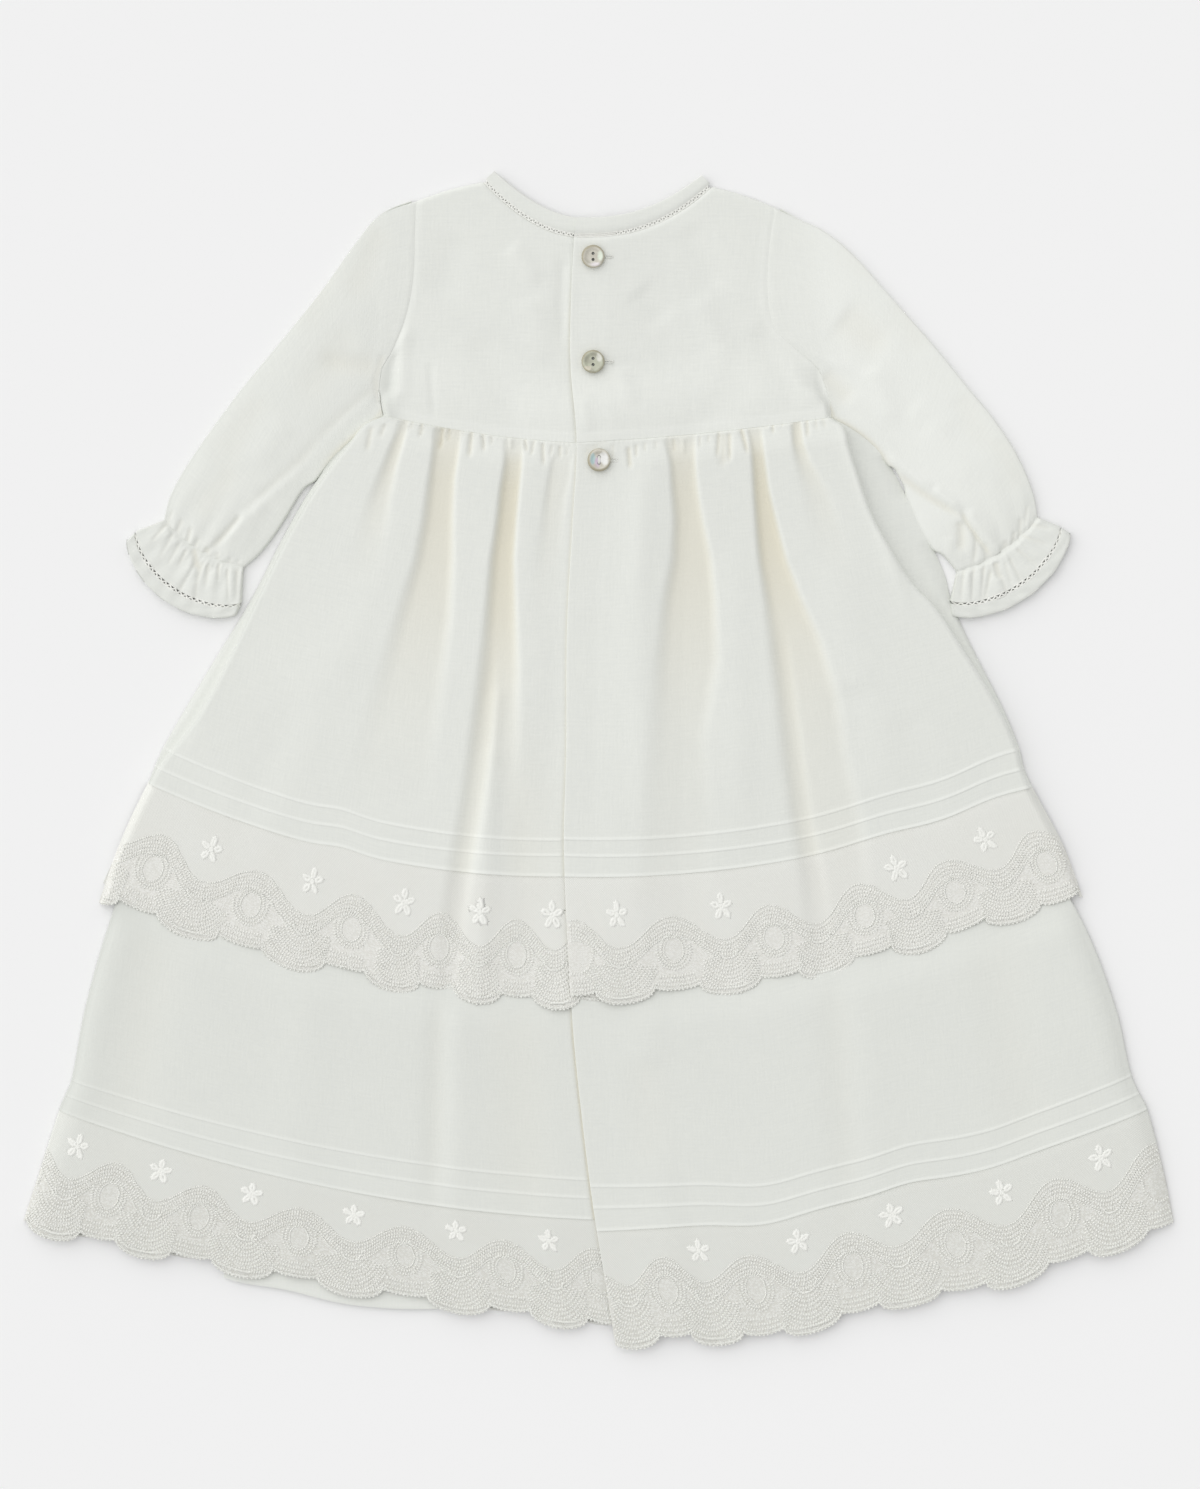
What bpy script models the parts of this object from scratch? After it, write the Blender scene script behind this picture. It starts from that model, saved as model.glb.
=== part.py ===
"""Christening gown laid out flat, back side up.

Frame: +X to the right sleeve, +Y to the neck, +Z up off the surface that the gown lies on.
The origin is on that surface, at the middle of the gown's outline. All tables are in
millimetres. "Side" is a panel's outer edge and "opening" its edge at the centre back.
"""
import math

import bmesh
import bpy

# ---------------------------------------------------------------- driving dimensions, mm
WALL = 1.2              # thickness of every cloth wall
PLY = 1.6               # rise from one layer of cloth to the next, gap included
SEAM = 0.4              # gap between two pieces at a seam
LAP = 18.0              # how far the left back runs on under the right back
LAP_CLEAR = 18.7        # where the right back is past the left back's edge
OVER_RAMP = 60.0        # where the upper right back is down on the layer below, past the lap
UNDER_RAMP = 50.0       # the same for the bodice and the inner skirt
LEFT_RAMP = 32.0        # where the upper left back starts to rise towards the lap
RIM = 5.0               # width over which a back panel comes down to the front at its side
EDGE_Z = 1.5            # height of the fold at the edges of a sleeve laid flat
TUCK_RISE = 0.9         # height of a pintuck
TUCK_HALF = 1.5         # half the width of a pintuck at its foot
BINDING = 6.8           # width of the neck binding
ARM_ROWS = 8            # grid rows down the armhole
SIDE_ROWS = (0.30, 0.62, 1.0)
BUTTON_RADIUS = 6.0
BUTTON_THICK = 2.2
BUTTON_HOLE_RADIUS = 0.75
BUTTON_HOLE_PITCH = 3.2
LOBE_DEEP = 7.4         # a lace scallop's large lobe
LOBE_SMALL = 2.0        # the small lobe between two large ones
LOBE_SHARE = 0.60       # share of the repeat that the large lobe takes
LOBE_STEPS = (0.0, 0.13, 0.24, 0.30, 0.39, 0.50, 0.61, 0.70, 0.76, 0.87)
FRONT_SHORT = 4.0       # how much higher the hidden front hems lie than the back hems

# heights of the stacked skirt layers, from the surface up
Z_UNDER_FRONT = PLY
Z_UNDER_BACK = 2 * PLY
Z_OVER_BACK = 3 * PLY
MM = 0.001

# ---------------------------------------------------------------- tables
# centre back edge of the right-hand pieces, from the neck down to the hem
OPENING = [
    {"y": 280.0, "x": -12.3},
    {"y": 238.0, "x": -14.4},
    {"y": 205.0, "x": -14.6},
    {"y": 165.0, "x": -11.4},
    {"y": 125.0, "x": -13.4},
    {"y": 69.0, "x": -16.4},
    {"y": 5.0, "x": -16.8},
    {"y": -46.0, "x": -18.0},
    {"y": -128.0, "x": -14.2},
    {"y": -177.0, "x": -9.7},
    {"y": -242.0, "x": -1.4},
    {"y": -310.0, "x": 10.6},
]

# cross lines of the skirts, waist to hem. side_x and side_y: the outer end. opening_y: the
# height of the inner end. sag: how far the middle hangs below a straight line. strip: how
# wide the lowered border along the side is.
OVER_LEFT = [
    {"down": 0.000, "side_x": -112.6, "side_y": 179.4, "opening_y": 164.8, "sag": 2.3, "strip": 1.0},
    {"down": 0.025, "side_x": -123.0, "side_y": 175.0, "opening_y": 157.5, "sag": 2.8, "strip": 1.0},
    {"down": 0.060, "side_x": -131.5, "side_y": 165.0, "opening_y": 147.3, "sag": 3.4, "strip": 1.5},
    {"down": 0.110, "side_x": -140.7, "side_y": 154.4, "opening_y": 132.7, "sag": 4.2, "strip": 2.0},
    {"down": 0.180, "side_x": -153.2, "side_y": 136.2, "opening_y": 112.2, "sag": 5.4, "strip": 2.0},
    {"down": 0.270, "side_x": -165.7, "side_y": 113.9, "opening_y": 85.9, "sag": 7.0, "strip": 2.0},
    {"down": 0.380, "side_x": -180.4, "side_y": 85.0, "opening_y": 53.7, "sag": 8.6, "strip": 2.5},
    {"down": 0.520, "side_x": -201.4, "side_y": 50.0, "opening_y": 12.8, "sag": 10.6, "strip": 6.0},
    {"down": 0.620, "side_x": -215.8, "side_y": 26.0, "opening_y": -16.4, "sag": 11.8, "strip": 7.0},
    {"down": 0.700, "side_x": -227.0, "side_y": 6.2, "opening_y": -41.6, "sag": 12.6, "strip": 4.0},
    {"down": 0.735, "side_x": -231.2, "side_y": -3.2, "opening_y": -49.6, "sag": 12.6, "strip": 2.0},
    {"down": 0.770, "side_x": -234.6, "side_y": -11.6, "opening_y": -60.2, "sag": 12.8, "strip": 1.0},
    {"down": 0.880, "side_x": -248.4, "side_y": -39.5, "opening_y": -93.2, "sag": 13.8, "strip": 1.0},
    {"down": 1.000, "side_x": -260.3, "side_y": -67.2, "opening_y": -122.6, "sag": 12.0, "strip": 1.0},
]
OVER_RIGHT = [
    {"down": 0.000, "side_x": 121.9, "side_y": 178.4, "opening_y": 164.8, "sag": 1.6, "strip": 1.0},
    {"down": 0.025, "side_x": 134.5, "side_y": 173.5, "opening_y": 157.5, "sag": 1.8, "strip": 6.0},
    {"down": 0.060, "side_x": 143.2, "side_y": 164.4, "opening_y": 147.3, "sag": 2.2, "strip": 12.0},
    {"down": 0.110, "side_x": 152.6, "side_y": 151.8, "opening_y": 132.7, "sag": 3.0, "strip": 17.0},
    {"down": 0.180, "side_x": 162.8, "side_y": 132.1, "opening_y": 112.2, "sag": 4.2, "strip": 20.0},
    {"down": 0.270, "side_x": 173.6, "side_y": 110.0, "opening_y": 85.9, "sag": 6.0, "strip": 18.0},
    {"down": 0.380, "side_x": 182.9, "side_y": 82.0, "opening_y": 53.7, "sag": 8.2, "strip": 8.0},
    {"down": 0.520, "side_x": 198.9, "side_y": 49.6, "opening_y": 12.8, "sag": 10.8, "strip": 3.0},
    {"down": 0.620, "side_x": 210.8, "side_y": 24.2, "opening_y": -16.4, "sag": 12.4, "strip": 1.5},
    {"down": 0.700, "side_x": 219.4, "side_y": 3.2, "opening_y": -41.0, "sag": 13.2, "strip": 1.0},
    {"down": 0.735, "side_x": 221.8, "side_y": -6.4, "opening_y": -49.6, "sag": 13.2, "strip": 1.0},
    {"down": 0.770, "side_x": 225.8, "side_y": -15.2, "opening_y": -60.2, "sag": 13.0, "strip": 1.0},
    {"down": 0.880, "side_x": 241.4, "side_y": -42.6, "opening_y": -93.0, "sag": 12.6, "strip": 1.0},
    {"down": 1.000, "side_x": 251.9, "side_y": -67.4, "opening_y": -120.4, "sag": 12.2, "strip": 1.0},
]
UNDER_LEFT = [
    {"down": 0.000, "side_x": -99.0, "side_y": 185.4, "opening_y": 170.3, "sag": 2.3},
    {"down": 0.030, "side_x": -108.5, "side_y": 171.6, "opening_y": 156.0, "sag": 2.6},
    {"down": 0.080, "side_x": -123.5, "side_y": 150.0, "opening_y": 133.0, "sag": 3.8},
    {"down": 0.200, "side_x": -150.0, "side_y": 109.0, "opening_y": 80.0, "sag": 6.0},
    {"down": 0.400, "side_x": -196.5, "side_y": 32.0, "opening_y": -10.0, "sag": 10.0},
    {"down": 0.560, "side_x": -241.0, "side_y": -48.0, "opening_y": -96.0, "sag": 12.0},
    {"down": 0.640, "side_x": -256.0, "side_y": -88.0, "opening_y": -138.0, "sag": 12.0},
    {"down": 0.740, "side_x": -267.6, "side_y": -129.5, "opening_y": -178.0, "sag": 10.0},
    {"down": 0.830, "side_x": -274.6, "side_y": -166.5, "opening_y": -218.4, "sag": 9.4},
    {"down": 0.852, "side_x": -277.8, "side_y": -174.2, "opening_y": -227.8, "sag": 10.4},
    {"down": 0.876, "side_x": -281.0, "side_y": -182.0, "opening_y": -238.7, "sag": 11.2},
    {"down": 0.940, "side_x": -290.6, "side_y": -212.0, "opening_y": -266.0, "sag": 7.0},
    {"down": 1.000, "side_x": -299.6, "side_y": -238.6, "opening_y": -291.6, "sag": 3.6},
]
UNDER_RIGHT = [
    {"down": 0.000, "side_x": 107.0, "side_y": 184.4, "opening_y": 170.3, "sag": 1.6},
    {"down": 0.030, "side_x": 115.5, "side_y": 171.0, "opening_y": 156.0, "sag": 2.0},
    {"down": 0.080, "side_x": 126.0, "side_y": 149.0, "opening_y": 133.0, "sag": 2.8},
    {"down": 0.200, "side_x": 144.0, "side_y": 105.0, "opening_y": 80.0, "sag": 6.0},
    {"down": 0.400, "side_x": 190.0, "side_y": 32.0, "opening_y": -10.0, "sag": 10.0},
    {"down": 0.560, "side_x": 231.0, "side_y": -46.0, "opening_y": -96.0, "sag": 13.0},
    {"down": 0.640, "side_x": 254.0, "side_y": -88.0, "opening_y": -138.0, "sag": 15.0},
    {"down": 0.740, "side_x": 269.6, "side_y": -129.5, "opening_y": -178.0, "sag": 16.4},
    {"down": 0.830, "side_x": 277.6, "side_y": -164.0, "opening_y": -221.6, "sag": 15.6},
    {"down": 0.852, "side_x": 281.6, "side_y": -173.4, "opening_y": -232.8, "sag": 14.6},
    {"down": 0.876, "side_x": 285.8, "side_y": -181.4, "opening_y": -244.6, "sag": 13.4},
    {"down": 0.940, "side_x": 294.0, "side_y": -212.0, "opening_y": -272.0, "sag": 13.0},
    {"down": 1.000, "side_x": 299.6, "side_y": -238.4, "opening_y": -299.4, "sag": 12.4},
]
OVER_TUCKS = (0.700, 0.735, 0.770)
UNDER_TUCKS = (0.830, 0.852, 0.876)
OVER_HEM = 0.782        # where the cloth of each skirt ends and its lace starts
UNDER_HEM = 0.884
OVER_LENGTH = 290.0     # length of each skirt along the opening
UNDER_LENGTH = 465.0

# large folds. A fold is centred on the line from (x, y) to (end_x, end_y), bent aside by bow;
# width is its half width, lift is positive for a ridge and negative for a trough.
OVER_FOLDS = [
    {"x": -80.4, "y": 176.0, "end_x": -87.6, "end_y": 128.0, "bow": 1.0, "width": 5.0, "lift": -3.4},
    {"x": -87.0, "y": 140.0, "end_x": -94.0, "end_y": 80.0, "bow": 0.0, "width": 4.0, "lift": -1.8},
    {"x": -82.5, "y": 135.0, "end_x": -85.0, "end_y": 48.0, "bow": 3.0, "width": 4.6, "lift": -2.2},
    {"x": -45.2, "y": 174.0, "end_x": -75.4, "end_y": -90.0, "bow": 1.6, "width": 5.2, "lift": -4.4},
    {"x": -55.6, "y": 40.0, "end_x": -60.0, "end_y": -110.0, "bow": 0.0, "width": 7.0, "lift": 1.6},
    {"x": -40.0, "y": 20.0, "end_x": -46.0, "end_y": -115.0, "bow": 0.0, "width": 8.0, "lift": -1.6},
    {"x": -25.3, "y": 172.0, "end_x": -25.6, "end_y": 128.0, "bow": 0.0, "width": 2.6, "lift": -1.8},
    {"x": 34.0, "y": 170.0, "end_x": 36.1, "end_y": 86.0, "bow": 5.5, "width": 3.4, "lift": -2.6},
    {"x": 45.4, "y": 170.0, "end_x": 60.6, "end_y": 44.0, "bow": 0.0, "width": 3.4, "lift": -2.6},
    {"x": 80.8, "y": 180.0, "end_x": 91.0, "end_y": 86.0, "bow": 0.0, "width": 5.0, "lift": -3.8},
    {"x": 87.0, "y": 96.0, "end_x": 112.0, "end_y": -72.0, "bow": -3.0, "width": 4.6, "lift": -2.6},
    {"x": 92.0, "y": 106.0, "end_x": 125.0, "end_y": 4.0, "bow": 0.0, "width": 4.6, "lift": -2.8},
    {"x": 101.4, "y": 180.0, "end_x": 106.2, "end_y": 142.0, "bow": 0.0, "width": 2.8, "lift": -2.4},
    {"x": -101.0, "y": 182.0, "end_x": -115.0, "end_y": 138.0, "bow": 0.0, "width": 3.2, "lift": -2.2},
    {"x": -115.6, "y": 178.0, "end_x": -122.0, "end_y": 150.0, "bow": 0.0, "width": 2.8, "lift": -1.6},
    {"x": -150.0, "y": 110.0, "end_x": -196.0, "end_y": -20.0, "bow": 0.0, "width": 11.0, "lift": -1.6},
    {"x": 150.0, "y": 60.0, "end_x": 180.0, "end_y": -80.0, "bow": 0.0, "width": 12.0, "lift": -1.6},
    {"x": 8.0, "y": 70.0, "end_x": 12.0, "end_y": -90.0, "bow": 0.0, "width": 12.0, "lift": -1.0},
]
UNDER_FOLDS = [
    {"x": -74.0, "y": -100.0, "end_x": -84.0, "end_y": -285.0, "bow": 0.0, "width": 9.0, "lift": -1.8},
    {"x": -38.0, "y": -110.0, "end_x": -34.0, "end_y": -250.0, "bow": 4.0, "width": 10.0, "lift": -1.6},
    {"x": -170.0, "y": -90.0, "end_x": -200.0, "end_y": -262.0, "bow": 0.0, "width": 12.0, "lift": -1.4},
    {"x": -226.0, "y": -80.0, "end_x": -252.0, "end_y": -230.0, "bow": 0.0, "width": 9.0, "lift": -1.0},
    {"x": 20.0, "y": -160.0, "end_x": 34.0, "end_y": -290.0, "bow": 0.0, "width": 9.0, "lift": -1.6},
    {"x": 124.0, "y": -100.0, "end_x": 140.0, "end_y": -278.0, "bow": 3.0, "width": 10.0, "lift": -1.8},
    {"x": 206.0, "y": -90.0, "end_x": 232.0, "end_y": -262.0, "bow": 0.0, "width": 11.0, "lift": -1.2},
]

# lengthwise course of the body's side seams: the armhole, then the side below it
ARMHOLE_LEFT = [
    {"part": 0.00, "x": -95.0, "y": 291.2},
    {"part": 0.20, "x": -95.6, "y": 273.0},
    {"part": 0.45, "x": -96.6, "y": 250.0},
    {"part": 0.65, "x": -100.6, "y": 230.6},
    {"part": 0.85, "x": -107.6, "y": 213.6},
    {"part": 1.00, "x": -113.4, "y": 204.6},
]
ARMHOLE_RIGHT = [
    {"part": 0.00, "x": 92.2, "y": 287.6},
    {"part": 0.20, "x": 88.9, "y": 268.0},
    {"part": 0.45, "x": 87.8, "y": 243.0},
    {"part": 0.65, "x": 91.4, "y": 225.4},
    {"part": 0.85, "x": 103.4, "y": 213.4},
    {"part": 1.00, "x": 114.8, "y": 205.0},
]
# the neck's low point and how it rises to each shoulder
NECK = {"low_x": -7.1, "low_y": 272.0, "left_x": -60.1, "left_y": 301.1, "left_power": 2.0,
        "right_x": 59.0, "right_y": 298.6, "right_power": 2.3}
FRONT_NECK_LOW = 246.0

# sleeves: each ring runs from the outer edge (top of the sleeve) to the inner edge. bow: how
# far its middle lies towards the hand. puff: how high the upper layer stands in its middle
SLEEVE_LEFT = [
    {"out_x": -113.6, "out_y": 284.0, "in_x": -120.6, "in_y": 179.6, "bow": -2.0, "puff": 1.0},
    {"out_x": -127.6, "out_y": 267.6, "in_x": -126.4, "in_y": 174.2, "bow": -2.0, "puff": 1.6},
    {"out_x": -142.6, "out_y": 246.5, "in_x": -134.2, "in_y": 164.8, "bow": -1.0, "puff": 2.0},
    {"out_x": -155.2, "out_y": 230.4, "in_x": -141.6, "in_y": 156.6, "bow": 0.0, "puff": 2.2},
    {"out_x": -172.0, "out_y": 210.1, "in_x": -148.8, "in_y": 147.2, "bow": 0.0, "puff": 2.2},
    {"out_x": -186.9, "out_y": 191.9, "in_x": -155.4, "in_y": 138.6, "bow": 0.0, "puff": 2.2},
    {"out_x": -202.3, "out_y": 171.1, "in_x": -161.6, "in_y": 128.2, "bow": 0.0, "puff": 2.2},
    {"out_x": -215.0, "out_y": 152.4, "in_x": -168.8, "in_y": 117.0, "bow": 0.0, "puff": 2.2},
    {"out_x": -223.0, "out_y": 137.6, "in_x": -176.4, "in_y": 107.4, "bow": 2.0, "puff": 1.8},
    {"out_x": -226.2, "out_y": 125.3, "in_x": -184.6, "in_y": 100.2, "bow": 4.2, "puff": 0.4},
]
SLEEVE_RIGHT = [
    {"out_x": 104.0, "out_y": 281.8, "in_x": 126.8, "in_y": 180.6, "bow": -4.0, "puff": 1.0},
    {"out_x": 118.0, "out_y": 275.0, "in_x": 133.2, "in_y": 177.0, "bow": -3.0, "puff": 1.6},
    {"out_x": 132.4, "out_y": 263.2, "in_x": 141.0, "in_y": 169.4, "bow": -2.0, "puff": 2.0},
    {"out_x": 147.9, "out_y": 246.0, "in_x": 147.4, "in_y": 162.4, "bow": -1.0, "puff": 2.2},
    {"out_x": 162.0, "out_y": 230.0, "in_x": 153.6, "in_y": 154.2, "bow": 0.0, "puff": 2.2},
    {"out_x": 176.6, "out_y": 213.4, "in_x": 159.4, "in_y": 144.6, "bow": 0.0, "puff": 2.2},
    {"out_x": 191.4, "out_y": 195.0, "in_x": 164.2, "in_y": 134.4, "bow": 0.0, "puff": 2.2},
    {"out_x": 205.4, "out_y": 178.0, "in_x": 168.6, "in_y": 122.8, "bow": 0.0, "puff": 2.2},
    {"out_x": 217.4, "out_y": 159.8, "in_x": 175.4, "in_y": 111.6, "bow": 1.0, "puff": 2.2},
    {"out_x": 225.8, "out_y": 140.6, "in_x": 182.8, "in_y": 103.0, "bow": 3.0, "puff": 1.8},
    {"out_x": 228.6, "out_y": 126.6, "in_x": 188.8, "in_y": 96.4, "bow": 4.2, "puff": 0.4},
]
SLEEVE_FOLDS = [
    {"x": -150.0, "y": 186.0, "end_x": -196.0, "end_y": 122.0, "bow": 0.0, "width": 4.0, "lift": -1.2},
    {"x": -163.0, "y": 168.0, "end_x": -190.0, "end_y": 112.0, "bow": 0.0, "width": 4.0, "lift": 1.2},
    {"x": -186.0, "y": 170.0, "end_x": -212.0, "end_y": 122.0, "bow": 0.0, "width": 4.0, "lift": -1.0},
    {"x": 150.0, "y": 196.0, "end_x": 200.0, "end_y": 112.0, "bow": 0.0, "width": 4.0, "lift": -1.2},
    {"x": 160.0, "y": 170.0, "end_x": 192.0, "end_y": 108.0, "bow": 0.0, "width": 4.0, "lift": 1.2},
    {"x": 196.0, "y": 170.0, "end_x": 214.0, "end_y": 122.0, "bow": 0.0, "width": 4.0, "lift": -1.0},
]
# cuffs: the gathered line at the elastic, then the frill's lower line, then the binding's edge
CUFF_LEFT = {
    "elastic": {"out_x": -226.5, "out_y": 124.8, "in_x": -184.9, "in_y": 99.7, "bow": 4.2},
    "hem": {"out_x": -240.6, "out_y": 119.4, "in_x": -185.8, "in_y": 82.0, "bow": 13.4},
    "edge": {"out_x": -245.4, "out_y": 114.6, "in_x": -188.4, "in_y": 75.8, "bow": 15.2},
}
CUFF_RIGHT = {
    "elastic": {"out_x": 229.0, "out_y": 126.1, "in_x": 189.2, "in_y": 95.9, "bow": 4.2},
    "hem": {"out_x": 239.8, "out_y": 121.8, "in_x": 187.4, "in_y": 82.4, "bow": 13.0},
    "edge": {"out_x": 245.2, "out_y": 118.0, "in_x": 186.6, "in_y": 76.0, "bow": 15.0},
}
CUFF_WAVES = 9          # gathers across the upper side of a cuff
CUFF_LIFT = 2.4         # height of those gathers

# centres of the lace's large lobes, by x
LOBES_OVER_LEFT = (-264.0, -215.1, -158.0, -106.0, -63.0, -22.0, 20.0)
LOBES_OVER_RIGHT = (-34.0, 12.2, 70.0, 119.0, 166.6, 215.5, 264.0)
LOBES_UNDER_LEFT = (-330.0, -284.0, -237.4, -186.5, -129.3, -72.0, -20.1, 30.0)
LOBES_UNDER_RIGHT = (-28.0, 20.0, 60.0, 112.0, 161.0, 218.6, 270.6, 322.0)

# what shows of the lining, below the lace
LINING = [
    {"x": -195.0, "low_y": -269.4, "top_y": -247.0},
    {"x": -186.5, "low_y": -272.0, "top_y": -247.0},
    {"x": -163.0, "low_y": -275.8, "top_y": -250.0},
    {"x": -135.0, "low_y": -282.6, "top_y": -256.0},
    {"x": -110.0, "low_y": -285.4, "top_y": -262.0},
    {"x": -87.0, "low_y": -285.8, "top_y": -265.0},
    {"x": -66.0, "low_y": -285.0, "top_y": -268.0},
]

BUTTONS = [
    {"name": "button_top", "x": -2.9, "y": 261.6, "z": 4.8},
    {"name": "button_middle", "x": -2.9, "y": 207.0, "z": 5.2},
    {"name": "button_waist", "x": 0.2, "y": 155.5, "z": 9.8},
]


# ---------------------------------------------------------------- small helpers
def clamp(value, low=0.0, high=1.0):
    return min(max(value, low), high)


def mix(a, b, share):
    return a + (b - a) * share


def ease(share):
    share = clamp(share)
    return share * share * (3.0 - 2.0 * share)


def read(table, key, at, column):
    """A smooth curve through one column of a table, read at a value of its key column."""
    if table[0][key] > table[-1][key]:
        table = table[::-1]
    keys = [row[key] for row in table]
    values = [row[column] for row in table]
    at = clamp(at, keys[0], keys[-1])
    k = max(i for i in range(len(keys) - 1) if keys[i] <= at)
    span = keys[k + 1] - keys[k]

    def slope(i):
        low, high = max(i - 1, 0), min(i + 1, len(keys) - 1)
        return (values[high] - values[low]) / (keys[high] - keys[low])

    t = (at - keys[k]) / span
    m0, m1 = slope(k) * span, slope(k + 1) * span
    return ((2 * t ** 3 - 3 * t ** 2 + 1) * values[k] + (t ** 3 - 2 * t ** 2 + t) * m0
            + (3 * t ** 2 - 2 * t ** 3) * values[k + 1] + (t ** 3 - t ** 2) * m1)


def opening_x(y):
    return read(OPENING, "y", y, "x")


def fold_lift(folds, x, y):
    """Sum of the folds at a point: each one a rounded ridge or trough that fades at its ends."""
    total = 0.0
    for fold in folds:
        along = (fold["y"] - y) / (fold["y"] - fold["end_y"])
        if -0.1 < along < 1.1:
            share = clamp(along)
            centre = mix(fold["x"], fold["end_x"], share) + fold["bow"] * 4 * share * (1 - share)
            fade = ease((along + 0.1) / 0.2) * ease((1.1 - along) / 0.45)
            total += fold["lift"] * fade * math.exp(-((x - centre) / fold["width"]) ** 2)
    return total


def soft_floor(height):
    """Keeps a height above zero with no hard crease where it gets there."""
    return 0.5 * (height + math.sqrt(height * height + 0.36))


# ---------------------------------------------------------------- materials
def material(name, color, roughness, sheen=0.0, coat=0.0):
    made = bpy.data.materials.new(name)
    made.use_nodes = True
    shader = made.node_tree.nodes["Principled BSDF"]
    shader.inputs["Base Color"].default_value = (*color, 1.0)
    shader.inputs["Roughness"].default_value = roughness
    shader.inputs["Metallic"].default_value = 0.0
    shader.inputs["Sheen Weight"].default_value = sheen
    shader.inputs["Coat Weight"].default_value = coat
    made.diffuse_color = (*color, 1.0)
    return made


# ---------------------------------------------------------------- solids
def add_object(name, bm, finish):
    bmesh.ops.recalc_face_normals(bm, faces=bm.faces[:])
    mesh = bpy.data.meshes.new(name)
    bm.to_mesh(mesh)
    bm.free()
    mesh.materials.append(finish)
    mesh.polygons.foreach_set("use_smooth", [True] * len(mesh.polygons))
    mesh.set_sharp_from_angle(angle=math.radians(40.0))
    made = bpy.data.objects.new(name, mesh)
    gown.objects.link(made)
    return made


def cloth(name, rows, columns, point, finish):
    """A cloth wall: a grid laid on point(row, column), raised by the wall's thickness."""
    bm = bmesh.new()
    bmesh.ops.create_grid(bm, x_segments=len(columns) - 1, y_segments=len(rows) - 1, size=1.0)
    for vert in bm.verts:
        i = round((vert.co.x + 1.0) / 2.0 * (len(columns) - 1))
        j = round((vert.co.y + 1.0) / 2.0 * (len(rows) - 1))
        x, y, z = point(rows[j], columns[i])
        vert.co = (x * MM, y * MM, z * MM)
    raised = bmesh.ops.extrude_face_region(bm, geom=bm.faces[:])["geom"]
    for vert in raised:
        if isinstance(vert, bmesh.types.BMVert):
            vert.co.z += WALL * MM
    return add_object(name, bm, finish)


def tube_wall(name, outer, inner, finish):
    """An open tube with a wall, from matching lists of outer and inner rings."""
    bm = bmesh.new()
    skins = []
    for rings in (outer, inner):
        skins.append([[bm.verts.new((x * MM, y * MM, z * MM)) for x, y, z in ring] for ring in rings])
    count = len(outer[0])
    for side in range(2):
        skin = skins[side]
        for ring, following in zip(skin, skin[1:]):
            for k in range(count):
                n = (k + 1) % count
                bm.faces.new((ring[k], ring[n], following[n], following[k]))
    for end in (0, -1):
        for k in range(count):
            n = (k + 1) % count
            bm.faces.new((skins[0][end][k], skins[0][end][n], skins[1][end][n], skins[1][end][k]))
    return add_object(name, bm, finish)


# ---------------------------------------------------------------- skirt panels
# A column of a panel's grid is named by what it is measured from: ("side", mm from the outer
# edge), ("strip", mm from the inner edge of the lowered border), ("opening", mm from the
# centre back edge, below zero under the lap) or ("share", part of the width between).
PANELS = {
    "over_left": {"lines": OVER_LEFT, "toward": 1.0, "folds": OVER_FOLDS, "lobes": LOBES_OVER_LEFT,
                  "by_opening": (2.5, 0.0, -LAP), "middle": 29},
    "over_right": {"lines": OVER_RIGHT, "toward": -1.0, "folds": OVER_FOLDS, "lobes": LOBES_OVER_RIGHT,
                   "by_opening": (LAP_CLEAR, 0.0), "middle": 33},
    "under_left": {"lines": UNDER_LEFT, "toward": 1.0, "folds": UNDER_FOLDS, "lobes": LOBES_UNDER_LEFT,
                   "by_opening": (8.0, 0.0, -LAP), "middle": 13},
    "under_right": {"lines": UNDER_RIGHT, "toward": -1.0, "folds": UNDER_FOLDS, "lobes": LOBES_UNDER_RIGHT,
                    "by_opening": (LAP_CLEAR, 0.0), "middle": 13},
}


def line_at(panel, down, column):
    return read(panel["lines"], "down", down, column)


def border(panel, down):
    """Width of the lowered border along a panel's side."""
    return line_at(panel, down, "strip") if "strip" in panel["lines"][0] else 0.0


def column_x(panel, down, column):
    """x of a grid column on one cross line."""
    side_x = line_at(panel, down, "side_x")
    centre_x = opening_x(line_at(panel, down, "opening_y"))
    toward = panel["toward"]
    kind, amount = column
    if kind == "side":
        return side_x + toward * amount
    if kind == "strip":
        return side_x + toward * (border(panel, down) + amount)
    if kind == "opening":
        return centre_x - toward * amount
    near = side_x + toward * (border(panel, down) + RIM)
    return mix(near, centre_x - toward * panel["by_opening"][0], amount)


def spot(panel, down, column):
    """x, y, distance in from the lowered border and distance in from the opening."""
    x = column_x(panel, down, column)
    side_x = line_at(panel, down, "side_x")
    centre_x = opening_x(line_at(panel, down, "opening_y"))
    t = (x - side_x) / (centre_x - side_x)
    y = mix(line_at(panel, down, "side_y"), line_at(panel, down, "opening_y"), t)
    y -= line_at(panel, down, "sag") * 4.0 * t * (1.0 - t)
    toward = panel["toward"]
    return x, y, toward * (x - side_x) - border(panel, down), toward * (centre_x - x)


def over_lap(from_opening, ramp):
    """How far the right back is raised by the lap: 1 over it, 0 from the end of its ramp."""
    return 1.0 - clamp((from_opening - LAP_CLEAR) / (ramp - LAP_CLEAR))


def over_base(left, inside, from_opening):
    """Rest height of the overskirt's back: low along the side, stepped up over the laps."""
    height = mix(PLY, Z_OVER_BACK, clamp(inside / RIM))
    if left:
        return height + PLY * (1.0 - clamp((from_opening - 2.5) / (LEFT_RAMP - 2.5)))
    return height + 2 * PLY * over_lap(from_opening, OVER_RAMP)


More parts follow.
